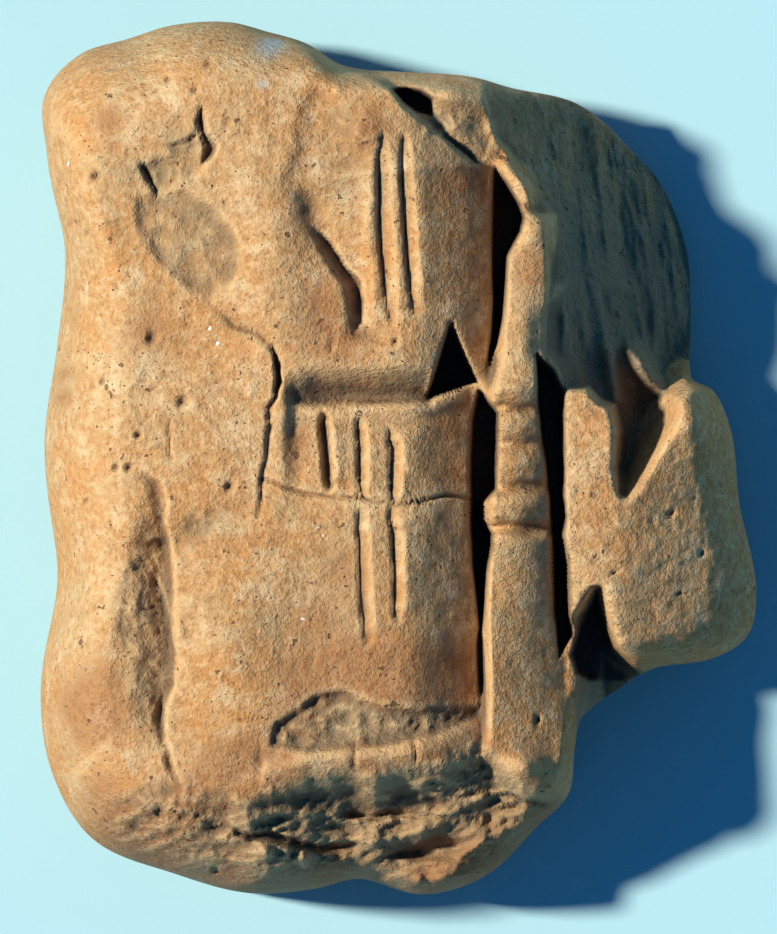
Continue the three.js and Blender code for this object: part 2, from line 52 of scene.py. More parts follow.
# ---- driving dimensions, millimetres -------------------------------------------------------------------
HUB = (-0.5, 0.0)          # the point that the outline is measured from
CROWN = 17.0               # height of the face at its highest
CELLS = 290                # cells across the face, from rim to rim
RIM_CROWDING = 1.2         # how strongly the cells gather towards the rim
UNDER_RINGS = 10           # steps of the roll from the rim down to the resting facet
REST_SHARE = 0.64          # resting facet's share of the outline's reach
FACET_SHARES = (0.97, 0.92, 0.85, 0.75, 0.62, 0.48, 0.33, 0.18, 0.07)   # rings across the resting facet
HALVED_RINGS = {0, 12, 16, 18}   # rings of the under side that keep only every second vertex
ROLL_FULLNESS = 2.2        # 2 rounds the rim as a quarter circle, more keeps it fuller
SHOULDER_SOFTNESS = 0.5    # rounding where the face meets the cliff of the shoulder
SHOULDER_CLIFF = 3.5       # rise for each step inwards from the foot of the cliff
CLIFF_FOOT = 0.35          # how far beyond the shoulder its cliff meets the flank
LOBE_SOFTNESS = 0.3        # rounding where the lobe meets the flank

# Outline, anticlockwise: x, y, height of the widest ring, width of the rounding from face to ring.
OUTLINE = [
    (15.35, 7.5, 3.3, 1.4), (15.1, 11.2, 3.0, 1.4), (13.6, 14.8, 2.9, 1.2), (12.0, 16.5, 3.4, 0.9),
    (10.6, 17.9, 4.4, 0.8), (9.0, 18.85, 6.0, 0.8), (6.0, 19.45, 8.5, 1.0), (3.9, 20.05, 8.0, 1.6),
    (0.0, 20.4, 6.0, 1.6), (-3.0, 20.72, 6.0, 1.8), (-5.0, 21.9, 6.5, 2.6), (-7.0, 22.5, 6.5, 3.6),
    (-9.0, 23.0, 6.5, 4.4), (-12.0, 22.85, 6.0, 4.6), (-14.4, 22.15, 5.0, 5.0), (-17.0, 21.3, 4.5, 5.0),
    (-18.8, 19.0, 5.5, 4.6), (-18.6, 16.0, 6.5, 4.2), (-17.65, 11.0, 7.0, 4.4), (-18.05, 6.0, 7.0, 4.8),
    (-18.72, 1.0, 7.0, 5.0), (-18.15, -4.6, 7.0, 4.8), (-18.15, -7.4, 7.0, 4.8), (-18.95, -12.5, 6.0, 5.0),
    (-18.35, -16.6, 5.0, 5.0), (-16.2, -20.1, 4.0, 4.4), (-12.0, -21.9, 3.0, 3.4), (-8.0, -22.97, 2.2, 2.8),
    (-4.4, -22.72, 2.4, 1.8), (-2.1, -22.2, 3.0, 1.4), (1.2, -23.0, 3.6, 1.3), (4.5, -22.0, 4.2, 1.8),
    (7.2, -19.4, 5.0, 2.4), (8.9, -17.6, 5.5, 1.8), (9.2, -15.2, 5.5, 1.4), (9.6, -13.6, 6.0, 1.6),
    (11.5, -12.1, 6.0, 2.2), (13.5, -11.0, 5.5, 2.4), (16.5, -10.5, 5.5, 3.0), (18.3, -9.3, 5.5, 3.2),
    (18.75, -7.0, 5.5, 3.2), (17.9, -2.5, 5.5, 2.8), (17.4, 1.6, 5.6, 2.4), (16.5, 3.6, 5.2, 2.2),
    (15.35, 4.3, 4.8, 2.2),
]

# Edge where the face ends above the right flank, from the upper end to the lower.
SHOULDER = [
    (3.2, 21.5), (4.0, 19.6), (4.4, 18.0), (4.65, 16.9), (5.5, 16.0), (6.4, 15.1), (7.0, 14.1),
    (7.25, 13.2), (8.0, 12.6), (8.0, 11.4), (7.65, 9.5), (7.35, 7.5), (7.25, 5.2), (7.9, 2.0), (8.2, -2.0),
    (8.5, -6.0), (8.75, -9.0), (8.95, -12.0), (9.2, -15.0), (9.3, -19.0),
]

# Edge of the face above the strap of clay at the upper right.
STRAP_EDGE = [
    (-4.6, 22.2), (-3.0, 20.75), (-1.6, 19.9), (-0.4, 19.2), (0.2, 18.35), (1.2, 17.5), (2.5, 16.5),
    (4.2, 15.15), (4.9, 15.1),
]

# Foot of the squeezed-out pillar and lobe, with the notch between them, and the pillar's height.
LOBE_FOOT = [
    (8.0, 3.3), (8.7, 3.9), (9.9, 3.8), (10.5, 3.1), (11.2, 2.8), (11.45, 1.4), (11.4, -0.6), (11.65, -1.7),
    (12.5, -0.2), (13.2, 1.0), (13.9, 2.3), (14.1, 3.4), (15.0, 4.2), (16.2, 4.3), (20.0, 4.3),
    (20.0, -12.0), (13.4, -11.5), (12.2, -10.9), (11.2, -9.9), (10.7, -8.8), (10.5, -7.7), (10.3, -6.9),
    (9.4, -8.2), (8.6, -9.6), (8.3, -9.0),
]
PILLAR_TOP = 13.75


# ---- curves and blends ---------------------------------------------------------------------------------
def ramp(t):
    t = np.clip(t, 0.0, 1.0)
    return t * t * (3.0 - 2.0 * t)


def soft_plus(v, r):
    return np.logaddexp(0.0, v / r) * r


def soft_min(a, b, r):
    h = np.clip(0.5 + 0.5 * (b - a) / r, 0.0, 1.0)
    return b + (a - b) * h - r * h * (1.0 - h)


def soft_max(a, b, r):
    return -soft_min(-a, -b, r)


def between(v, rows):
    """Value at v between rows of (key, value), keys rising."""
    keys, values = zip(*rows)
    return np.interp(v, keys, values)


def mound(x, y, cx, cy, reach_x, reach_y, turn, height):
    """Rounded swelling, or hollow with a negative height, turned by some degrees."""
    c, s = math.cos(math.radians(turn)), math.sin(math.radians(turn))
    u = ((x - cx) * c + (y - cy) * s) / reach_x
    v = ((y - cy) * c - (x - cx) * s) / reach_y
    return height * np.exp(-1.5 * (u * u + v * v))


def along(x, y, path):
    """Nearest point of a path: distance, positive on the left of its travel, and share of the way."""
    near = np.full(x.shape, 1e9)
    side = np.ones(x.shape)
    place = np.zeros(x.shape)
    run = 0.0
    for (ax, ay), (bx, by) in zip(path[:-1], path[1:]):
        length = math.hypot(bx - ax, by - ay)
        ux, uy = (bx - ax) / length, (by - ay) / length
        t = np.clip((x - ax) * ux + (y - ay) * uy, 0.0, length)
        away = np.hypot(x - ax - ux * t, y - ay - uy * t)
        closer = away < near
        near = np.where(closer, away, near)
        side = np.where(closer, np.where(ux * (y - ay) - uy * (x - ax) >= 0, 1.0, -1.0), side)
        place = np.where(closer, run + t, place)
        run += length
    return near * side, place / run


def inside_by(x, y, corners):
    """How far a point lies inside a closed outline, negative outside."""
    near = np.full(x.shape, 1e9)
    inside = np.zeros(x.shape, bool)
    for (ax, ay), (bx, by) in zip(corners, corners[1:] + corners[:1]):
        ux, uy = bx - ax, by - ay
        t = np.clip(((x - ax) * ux + (y - ay) * uy) / (ux * ux + uy * uy), 0.0, 1.0)
        near = np.minimum(near, np.hypot(x - ax - ux * t, y - ay - uy * t))
        if ay != by:
            inside ^= ((ay > y) != (by > y)) & (x < ax + (y - ay) / (by - ay) * ux)
    return np.where(inside, near, -near)


# ---- noise ---------------------------------------------------------------------------------------------
def lattice(ix, iy, seed):
    """Repeatable value from -1 to 1 for each whole-number place."""
    h = (ix.astype(np.int64) * 374761393 + iy.astype(np.int64) * 668265263 + seed * 974634777) & 0xFFFFFFFF
    h = ((h ^ (h >> 13)) * 1274126177) & 0xFFFFFFFF
    return ((h ^ (h >> 16)) & 0xFFFF) / 32767.5 - 1.0


def noise(x, y, seed):
    ix, iy = np.floor(x), np.floor(y)
    fx, fy = ramp(x - ix), ramp(y - iy)
    low = lattice(ix, iy, seed) * (1 - fx) + lattice(ix + 1, iy, seed) * fx
    high = lattice(ix, iy + 1, seed) * (1 - fx) + lattice(ix + 1, iy + 1, seed) * fx
    return low * (1 - fy) + high * fy


def fractal(x, y, size, seed, octaves=4, creased=False):
    """Layers of noise, each finer and turned; creased ones fold into sharp valleys."""
    total = np.zeros(x.shape)
    share = 0.5
    for k in range(octaves):
        c, s = math.cos(0.6 * k), math.sin(0.6 * k)
        layer = noise((x * c + y * s) / size + 17.3 * k, (y * c - x * s) / size - 9.1 * k, seed + k)
        total += share * (2.0 * np.abs(layer) - 0.7 if creased else layer)
        size *= 0.5
        share *= 0.55
    return total


# ---- relief tools --------------------------------------------------------------------------------------
def groove(x, y, path, wall_a, wall_b, depth, head=0.5, tail=0.5, ends=0.15):
    """Cut along a path down the face or to the right: wall_a on its right hand, wall_b on its left hand."""
    distance, share = along(x, y, path)
    size = np.interp(share, [0.0, ends, 1.0 - ends, 1.0], [head, 1.0, 1.0, tail])
    wall = np.where(distance < 0, wall_a, wall_b) * (0.5 + 0.5 * size)
    v = np.clip(1.0 - np.abs(distance) / wall, 0.0, 1.0)
    return -depth * size * v * (1.35 - 0.35 * v)


def ridge(x, y, path, width, height, head=0.4, tail=0.4):
    distance, share = along(x, y, path)
    size = np.interp(share, [0.0, 0.2, 0.8, 1.0], [head, 1.0, 1.0, tail])
    return height * size * np.exp(-((distance / width) ** 2))


def step(x, y, path, drop, width, reach):
    """Ground on the left hand of a path lies lower by drop beside it, and comes back over reach."""
    distance, share = along(x, y, path)
    ends = ramp(np.minimum(share, 1.0 - share) / 0.12)
    recovery = np.exp(-np.clip(distance, 0, None) / reach)
    return -drop * ends * ramp((distance + width) / (2 * width)) * recovery


def pit(x, y, corners, wall, depth):
    return -depth * ramp(inside_by(x, y, corners) / wall + 0.2)


# ---- outline -------------------------------------------------------------------------------------------
def rim_at(angle):
    """Reach, ring height and rounding width at an angle: a smooth closed curve through the outline."""
    rows = np.array(OUTLINE)
    turns = np.unwrap(np.arctan2(rows[:, 1] - HUB[1], rows[:, 0] - HUB[0]))
    reach = np.hypot(rows[:, 0] - HUB[0], rows[:, 1] - HUB[1])
    values = np.column_stack([reach, rows[:, 2], rows[:, 3]])
    keys = np.concatenate([turns - 2 * np.pi, turns, turns + 2 * np.pi])
    values = np.concatenate([values, values, values])
    angle = np.mod(angle - turns[0], 2 * np.pi) + turns[0]
    i = np.clip(np.searchsorted(keys, angle, side="right") - 1, 1, len(keys) - 3)
    gap = keys[i + 1] - keys[i]
    t = ((angle - keys[i]) / gap)[..., None]
    slope_a = (values[i + 1] - values[i - 1]) / (keys[i + 1] - keys[i - 1])[..., None]
    slope_b = (values[i + 2] - values[i]) / (keys[i + 2] - keys[i])[..., None]
    gap = gap[..., None]
    curve = (2 * t**3 - 3 * t**2 + 1) * values[i] + (t**3 - 2 * t**2 + t) * gap * slope_a
    curve += (3 * t**2 - 2 * t**3) * values[i + 1] + (t**3 - t**2) * gap * slope_b
    return curve[..., 0], curve[..., 1], curve[..., 2]


# ---- the broad surface ---------------------------------------------------------------------------------
def cut_line(y):
    """Line of the deep cut between the inscribed panel and the bars."""
    return between(y, [
        (-12.5, 4.3), (-8, 4.2), (-3.5, 4.4), (3, 4.4), (5, 4.9), (8, 5.2), (11, 5.2), (15, 5.0),
    ])


def panel_drop(x, y):
    """Fall of the inscribed panel to the right, ever steeper towards the cut."""
    lean = between(y, [
        (-16, 0.2), (-13.5, 0.85), (-10.5, 0.95), (-8, 0.8), (-6, 0.76), (2, 0.70), (6, 0.6), (8, 0.40),
        (15, 0.38), (17, 0.5),
    ])
    bend = between(y, [(-16, 0.0), (-8, 0.02), (2, 0.03), (6, 0.05), (9, 0.08), (15, 0.08), (17, 0.0)])
    u = soft_plus(np.minimum(x, 5.3) - 0.7, 0.4)
    return lean * u + bend * u * u


def bar_top(x, y):
    """The row of bars beyond the cut, each rounding off to its right."""
    top = between(y, [(-16, 14.2), (-12, 14.8), (-5, 15), (8, 15.1), (12, 15.0), (15, 14.3)])
    tilt = between(y, [(-16, 0.35), (-12, 0.58), (-7, 0.35), (-4, 0.15), (0, 0.10), (5, 0.05), (12, 0.0)])
    bend = between(y, [(-16, 0.05), (-12, 0.08), (-7, 0.15), (-3, 0.30), (5, 0.30), (12, 0.25), (14, 0.1)])
    u = x - cut_line(y) - 0.6
    return top - tilt * u - bend * np.clip(u - 0.5, 0, 3.2) ** 2


def face(x, y):
    """The gently crowned face, its panel leaning to the right, and the row of bars beyond the cut."""
    crown = CROWN - 0.0045 * (x + 8) ** 2 - 0.0016 * y * y
    panel = crown - panel_drop(x, y)
    beyond = ramp((x - cut_line(y) + 0.1) / 0.6) * ramp(16 - y)
    return panel + (bar_top(x, y) - panel) * beyond


def swellings(x, y):
    """Thumb-pressed swellings of the face."""
    return (
        mound(x, y, -15.8, -9, 2.2, 7, 0, 0.3)
        + mound(x, y, -8.8, -9.8, 3.4, 7.0, 0, 0.75)
        + mound(x, y, -6.6, 10, 2.2, 6, 5, 0.7)
        + mound(x, y, -10.5, 20, 7, 3, -8, 0.3)
        + mound(x, y, -12, 0, 5, 4.5, 0, 0.15)
        + mound(x, y, -12.0, 6.0, 2.6, 1.6, -20, -0.18)
        + mound(x, y, -9.5, -2.9, 3.2, 1.5, 20, -0.28)
    )


def strap_drop(x, y):
    """Drop from the face's upper right edge to the strap of clay along the upper end."""
    distance, share = along(x, y, STRAP_EDGE)
    low = between(share, [(0, 0.6), (0.25, 1.6), (0.42, 2.6), (0.58, 1.6), (0.75, 0.9), (1, 0.2)])
    beyond = ramp((distance + 0.2) / 0.6) * ramp((5.6 - x) / 0.8) * ramp((y - 13) / 2)
    lump = mound(x, y, 2.6, 19.1, 2.4, 0.8, -12, 1.3) + mound(x, y, 3.0, 17.4, 1.4, 0.8, -50, 0.6)
    return (low - lump) * beyond


def end_lip(x):
    """Line along which the face breaks off towards the lower end."""
    return between(x, [
        (-19, -18.5), (-15, -17.6), (-11.5, -16.9), (-9.5, -17.2), (-8, -17.6), (-6.8, -17.0), (-5, -16.3),
        (-3, -16.1), (0, -16.0), (2, -15.5), (4.2, -14.5), (5.2, -15.8), (6.4, -17.2), (8, -17.7), (9.5, -18),
    ])


def end_drop(x, y):
    """Fall of the broken lower end, from its lip down to a lower shelf."""
    fall = between(x, [
        (-18, 0.4), (-14, 0.9), (-10, 1.3), (-6.5, 1.8), (-4, 3.4), (-1, 4.6), (1.5, 4.6), (3.2, 3.9),
        (5.2, 3.0), (9, 2.6),
    ])
    width = between(x, [(-16, 3.0), (-8, 2.4), (-3, 2.6), (2, 3.0), (4, 3.4), (6, 2.4)])
    below = end_lip(x) + 0.35 * noise(x / 1.3, x * 0 + 2.0, 97) - y
    shelf = between(x, [(-14, 0.3), (-6, 0.5), (8, 0.6)])
    return fall * ramp(below / width) + shelf * np.clip(below - width, 0, None)


def flank(x, y):
    """The right flank below the cliff of the shoulder: distance beyond the shoulder, and height."""
    foot = between(y, [(-19, 9.2), (-9, 8.6), (5, 7.5), (9, 7.3), (12, 6.2), (15.5, 4.3), (20, 3.9)])
    top = between(y, [(-19, 12.4), (-12, 13.6), (-6, 14.2), (12, 14.3), (20, 13.6)])
    steep = between(y, [(-16, 1.6), (-12, 2.2), (-8, 2.0), (-5, 1.2), (20, 1.0)])
    out = x - foot
    fall = steep * between(out, [
        (-20, -30), (0, 0), (1, 1.9), (3, 4.7), (5, 7.2), (7, 9.3), (9, 11.0), (12, 13.2),
    ])
    folds = 0.55 * fractal(x + y * 0.15, y * 0.18, 1.7, 131, 5, creased=True)
    folds = folds * ramp(out / 2) * ramp((22 - y) / 8)
    web = ridge(x, y, [(14.6, 3.0), (13.2, 4.1), (12.2, 5.6)], 0.6, 3.0, 1.0, 0.7)
    web = web + ridge(x, y, [(10.7, 6.4), (11.3, 3.2)], 0.5, 1.4, 0.3, 1.0)
    return along(x, y, SHOULDER)[0], top - fall - folds + web


def lobe(x, y):
    """Pillar and lobe of clay squeezed out over the right flank."""
    top = PILLAR_TOP - 0.05 * (x - 8.6) - 0.68 * soft_plus(x - 11.4, 0.35)
    top = top - 0.015 * np.clip(-4 - y, 0, None) ** 1.7 + mound(x, y, 15.3, 1.9, 1.7, 1.9, 0, 1.3)
    wall = between(x, [(11.6, 0.9), (12.6, 1.8), (14.5, 1.8), (16, 1.4)])
    inside = inside_by(x, y, LOBE_FOOT)
    return top - 6 * ramp(0.5 - inside / wall) - 3.0 * np.clip(-inside - wall / 2, 0, None)


def ground(x, y):
    z = face(x, y) + swellings(x, y) - strap_drop(x, y) - end_drop(x, y)
    distance, side = flank(x, y)
    z = soft_min(z, side + SHOULDER_CLIFF * np.clip(CLIFF_FOOT - distance, 0, None), SHOULDER_SOFTNESS)
    return np.where(x > 7.2, soft_max(z, lobe(x, y), LOBE_SOFTNESS), z)


# ---- hollows, cuts and strokes -------------------------------------------------------------------------
# Worn skin in the channel down the lower left.
CHANNEL = [
    (-12.6, -3.2), (-13.3, -4.3), (-14.3, -6.3), (-14.9, -7.5), (-14.5, -9.0), (-13.9, -10.5),
    (-13.7, -12.5), (-13.1, -13.5), (-12.7, -14.2), (-12.5, -13.0), (-12.3, -11.0), (-12.1, -9.0),
    (-12.3, -7.0), (-12.3, -5.6), (-12.0, -4.5),
]
SCAR = [
    (-6.9, -14.9), (-6.5, -13.7), (-5.5, -13.0), (-4.3, -12.2), (-2.9, -12.0), (-1.6, -12.7), (0.5, -13.0),
    (4.2, -12.8), (4.3, -13.4), (2.0, -14.4), (0, -14.9), (-3.0, -15.1), (-5.0, -15.3),
]
PATCH = [
    (-14.0, 13.6), (-13.9, 12.3), (-13.2, 11.0), (-12.3, 9.9), (-11.2, 8.9), (-9.8, 8.0), (-9.0, 8.8),
    (-8.3, 9.6), (-8.25, 11.0), (-8.8, 12.3), (-9.6, 13.1), (-11.0, 14.0),
]
# corners, width of the wall, depth
PITS = [
    (SCAR, 0.35, 0.42),
    (PATCH, 0.6, 0.28),
    ([(-10.65, 17.6), (-10.35, 18.5), (-10.0, 17.0), (-9.5, 16.4), (-9.7, 15.6), (-10.4, 15.2),
      (-10.2, 16.2)], 0.35, 0.9),
    ([(-13.7, 15.2), (-12.6, 15.7), (-11.5, 15.6), (-11.5, 14.3), (-12.6, 13.5), (-13.3, 14.2)], 0.5, 0.35),
    ([(-12.0, 16.2), (-10.6, 17.2), (-10.1, 16.6), (-10.0, 15.2), (-10.6, 14.3), (-11.8, 14.6)], 0.7, 0.3),
    ([(-13.6, 15.4), (-13.2, 15.3), (-12.8, 14.3), (-12.5, 13.5), (-13.0, 13.9), (-13.4, 14.6)], 0.25, 0.6),
    ([(-6.6, 5.9), (-6.6, 4.2), (-6.8, 2.7), (-6.15, 3.9), (-6.2, 5.0)], 0.2, 0.8),
    ([(-1.2, -20.9), (0.9, -20.2), (2.0, -19.5), (3.4, -20.2), (3.0, -20.9), (1.2, -21.2)], 0.5, 1.4),
    ([(-9.95, -21.3), (-9.5, -21.2), (-9.4, -21.8), (-9.9, -21.8)], 0.3, 1.0),
]
# corners, width of the wall, height of the floor
DEEP_CUTS = [
    ([(4.9, 15.2), (4.82, 13.6), (4.78, 12.0), (4.8, 10.0), (4.85, 8.0), (4.75, 6.5), (4.55, 4.8),
      (5.05, 6.0), (5.36, 7.4), (5.5, 9.0), (5.62, 10.6), (6.3, 11.9), (6.5, 12.6), (6.2, 13.4),
      (5.6, 14.4)], 0.22, 9.0),
    ([(2.6, 7.15), (1.35, 3.1), (4.0, 4.05)], 0.3, 10.0),
    ([(4.1, 3.7), (3.75, 2.0), (3.62, -1.0), (3.65, -3.6), (3.75, -5.5), (4.05, -8.2), (4.2, -9.3),
      (4.35, -8.3), (4.5, -6.0), (4.8, -4.5), (4.8, -3.9), (4.3, -3.2), (4.3, -2.3), (5.0, -1.6),
      (5.1, 1.0), (5.15, 2.4), (4.7, 2.9)], 0.3, 9.8),
    ([(7.1, 5.5), (7.15, 3.0), (7.35, 1.2), (7.6, -0.5), (7.8, -2.5), (7.95, -5.0), (8.0, -8.0),
      (8.3, -10.4), (9.0, -9.2), (8.85, -8.0), (8.75, -5.5), (8.5, -4.0), (8.7, -3.0), (8.55, -2.0),
      (8.6, 0.0), (8.55, 2.0), (8.6, 3.4), (8.0, 4.6)], 0.3, 9.5),
    ([(-0.5, 19.3), (0.3, 19.45), (1.1, 19.3), (1.7, 18.8), (1.65, 17.9), (0.8, 18.1),
      (0.1, 18.6)], 0.3, 11.6),
    ([(8.9, -10.2), (9.4, -8.7), (10.3, -7.0), (10.6, -8.0), (11.2, -9.9), (12.2, -10.9),
      (12.9, -11.5), (11.2, -11.7), (9.9, -11.6), (9.2, -11.2)], 0.3, 7.0),
]
# path, wall on its right hand, wall on its left hand, depth
STROKES = [
    ([(-1.1, 16.6), (-1.12, 14.5), (-1.07, 12.0), (-0.92, 10.0), (-0.82, 9.0), (-0.6, 7.3)],
     0.16, 0.65, 0.60),
    ([(0.08, 16.6), (0.1, 14.5), (0.26, 12.0), (0.4, 10.0), (0.5, 9.0), (0.62, 7.8)], 0.16, 0.60, 0.62),
    ([(-3.95, 2.2), (-3.8, 0.6), (-3.65, -1.4)], 0.45, 0.35, 1.1),
    ([(-2.25, 2.0), (-2.12, 0.4), (-2.12, -1.7)], 0.18, 0.50, 0.75),
    ([(-0.65, 1.3), (-0.42, 0.6), (-0.48, -2.1)], 0.18, 0.60, 0.75),
    ([(-2.25, -2.9), (-2.12, -5.0), (-2.0, -7.5), (-1.85, -9.3)], 0.16, 0.60, 0.70),
    ([(-0.6, -2.8), (-0.38, -4.0), (-0.28, -6.0), (-0.3, -8.2)], 0.18, 0.55, 0.70),
    ([(4.1, -9.0), (4.12, -10.5), (4.2, -12.2)], 0.15, 0.3, 1.1),
]
PRESSED = 7   # the first strokes, pressed by a stylus, push the clay up beside them

# Long crack down the middle of the face.
CRACK = [
    (-10.0, 8.1), (-8.6, 6.8), (-7.3, 6.4), (-6.6, 5.9), (-6.3, 4.8), (-6.25, 4.0), (-6.45, 3.2),
    (-6.9, 2.6), (-6.8, 1.6), (-7.0, 0.4), (-7.1, -0.6), (-7.2, -2.0), (-7.4, -3.0),
]


def strokes(x, y):
    """Each stroke is a narrow cut, and pressed clay stands up on its right and falls off again."""
    cut = sum(groove(x, y, path, wall_a, wall_b, depth) for path, wall_a, wall_b, depth in STROKES)
    pressed = [(path, depth) for path, wall_a, wall_b, depth in STROKES[:PRESSED]]
    raised = sum(step(x, y, path, -0.65 * depth, 0.15, 1.0) for path, depth in pressed)
    return cut + raised


def deepened(z, x, y):
    """The deep cuts go down to floors of their own."""
    for corners, wall, floor in DEEP_CUTS:
        z = z + np.minimum(floor - z, 0) * ramp(inside_by(x, y, corners) / wall + 0.2)
    return z


def trough(x, y, path, wall_a, wall_b, depth, head=0.2, tail=0.2, ends=0.3):
    """Groove with soft shoulders: wall_a on the right hand of its path, wall_b on its left hand."""
    distance, share = along(x, y, path)
    size = np.interp(share, [0.0, ends, 1.0 - ends, 1.0], [head, 1.0, 1.0, tail])
    wall = np.where(distance < 0, wall_a, wall_b) * (0.5 + 0.5 * size)
    return -depth * size * ramp(1.0 - np.abs(distance) / wall)


def channel(x, y):
    """Trough down the lower left: a long slope from the left, and a sharp fold on the right."""
    upper = [(-12.4, -2.6), (-12.2, -4.2), (-12.1, -5.6), (-12.0, -7.2), (-11.9, -8.8)]
    lower = [(-12.5, -6.8), (-12.0, -8.6), (-11.8, -10.2), (-11.95, -11.8), (-12.4, -13.0), (-12.3, -14.4)]
    fold = [
        (-12.3, -12.4), (-12.45, -13.4), (-12.35, -14.3), (-12.0, -15.2), (-11.9, -16.0), (-11.5, -16.7),
    ]
    return (
        trough(x, y, upper, 2.5, 0.35, 1.2)
        + trough(x, y, lower, 2.3, 0.25, 1.05)
        + trough(x, y, [(-12.4, -4.7), (-11.2, -4.3), (-9.6, -3.2)], 1.1, 1.3, 0.35)
        + trough(x, y, [(-13.4, -0.6), (-12.6, -1.3), (-12.35, -2.2), (-12.3, -3.4)], 0.8, 0.3, 0.5)
        + groove(x, y, fold, 0.35, 0.12, 0.45)
        + ridge(x, y, [(-11.5, -8.2), (-11.4, -9.4)], 0.15, 0.2)
    )


def left_bank(x, y):
    """The smooth mass left of the upper strokes ends in a bank and a dark valley."""
    upper = [
        (-3.3, 19.6), (-4.6, 19.0), (-5.1, 18.0), (-5.25, 16.6), (-5.5, 15.5), (-5.9, 14.6), (-5.0, 13.2),
        (-4.6, 12.0),
    ]
    bank = [
        (-5.8, 14.4), (-5.1, 12.6), (-4.3, 11.4), (-3.5, 10.4), (-2.8, 9.4), (-2.4, 8.4), (-2.3, 7.2),
        (-2.4, 5.6),
    ]
    valley = [(-4.3, 11.9), (-3.6, 11.0), (-3.0, 10.1), (-2.25, 9.2), (-2.1, 8.3), (-2.05, 7.1)]
    return (
        step(x, y, upper, 0.35, 0.45, 2.5)
        + step(x, y, bank, 0.85, 0.8, 2.2) * ramp((14.8 - y) / 2.5)
        + groove(x, y, valley, 0.7, 0.18, 0.80, 0.3, 0.5)
        + mound(x, y, -1.9, 16.9, 1.3, 1.6, 20, 0.5)
        + ridge(x, y, [(-1.55, 15.5), (-1.6, 12), (-1.45, 8.5), (-1.5, 7.2)], 0.38, 0.32)
        + ridge(x, y, [(-4.2, 14.5), (-1.0, 15.0), (2.0, 15.3), (4.3, 15.3)], 0.35, 0.15)
        + ridge(x, y, [(-0.25, 15.5), (-0.15, 12.0), (0.05, 9.0), (0.1, 7.6)], 0.25, 0.12)
        + ridge(x, y, [(1.1, 14.8), (1.2, 12.0), (1.35, 9.0), (1.4, 7.8)], 0.45, 0.12)
    )


def knuckles(x, y):
    """Creases and swellings across the bars: y, height, half width."""
    rows = [
        (3.75, 0.55, 0.65), (2.65, -0.55, 0.25), (1.9, 0.15, 0.5), (0.75, -0.55, 0.38), (-0.25, 0.30, 0.5),
        (-1.45, -0.60, 0.35), (-2.35, 0.30, 0.45), (-3.6, -1.1, 0.32), (-4.5, 0.15, 0.5),
    ]
    on_bars = ramp((x - 4.2) / 0.6) * ramp((8.2 - x) / 0.5)
    return on_bars * sum(height * np.exp(-(((y - at) / half) ** 2)) for at, height, half in rows)


def bar_end(x, y):
    """Rounded upper end of the long bar, the notch and thin ridge above it, and its narrower waist."""
    waist = ramp((9.0 - y) / 2.5) * ramp((y - 4.6) / 1.2) * ramp((x - 6.3) / 1.2) * ramp((8.6 - x) / 0.4)
    return (
        mound(x, y, 7.1, 11.9, 1.0, 1.1, 0, 0.45)
        + groove(x, y, [(6.4, 13.2), (7.3, 12.9), (7.9, 12.9)], 0.3, 0.3, 0.5)
        + ridge(x, y, [(4.5, 15.6), (5.4, 15.3), (6.4, 14.4), (6.9, 13.6)], 0.3, 0.35)
        + mound(x, y, 5.9, 16.5, 0.7, 0.5, -40, 0.4)
        + mound(x, y, 4.9, 17.3, 0.5, 0.5, 0, 0.35)
        - 0.5 * waist
    )


def ledge(x, y):
    """Long level cut across the middle, with a bright lip below it."""
    span = ramp((x + 6.3) / 1.0) * ramp((4.5 - x) / 0.8)
    fade = ramp((x + 6.0) / 2.6) * ramp((1.9 - x) / 0.6)
    return (
        -span * 0.9 * ramp((4.9 - y) / 1.8) * ramp((y + 3.5) / 6.0)
        + fade * trough(x, y, [(-7.5, 2.95), (-2, 3.1), (3, 3.3)], 0.4, 1.9, 1.15, 1.0, 1.0)
        + ridge(x, y, [(-6.0, 2.3), (-2, 2.5), (1.0, 2.6), (3.9, 3.4)], 0.4, 0.3)
    )


def cracks(x, y):
    """Thin cracks and scratches of the face."""
    level = [(-7.2, -1.0), (-5.0, -1.75), (-2.0, -2.1), (0.2, -2.4), (2.3, -1.95), (3.6, -2.1)]
    return (
        groove(x, y, level, 0.14, 0.14, 0.45, 0.5, 1.0)
        + step(x, y, CRACK, 0.22, 0.2, 1.2)
        + groove(x, y, CRACK, 0.2, 0.12, 0.35, 0.5, 0.6)
        + groove(x, y, [(-10.5, 17.0), (-11.0, 16.5), (-11.9, 16.3)], 0.12, 0.12, 0.3)
        + groove(x, y, [(-9.0, 17.8), (-9.1, 16.9)], 0.1, 0.1, 0.25)
        + groove(x, y, [(-12.05, 2.1), (-12.05, 0.4), (-11.85, 0)], 0.12, 0.12, 0.25)
        + groove(x, y, [(2.2, 16.9), (3.1, 16.2), (4.0, 15.35)], 0.15, 0.2, 0.6)
        + groove(x, y, [(-3.5, 6.3), (-3.65, 5.5)], 0.12, 0.12, 0.35)
    )


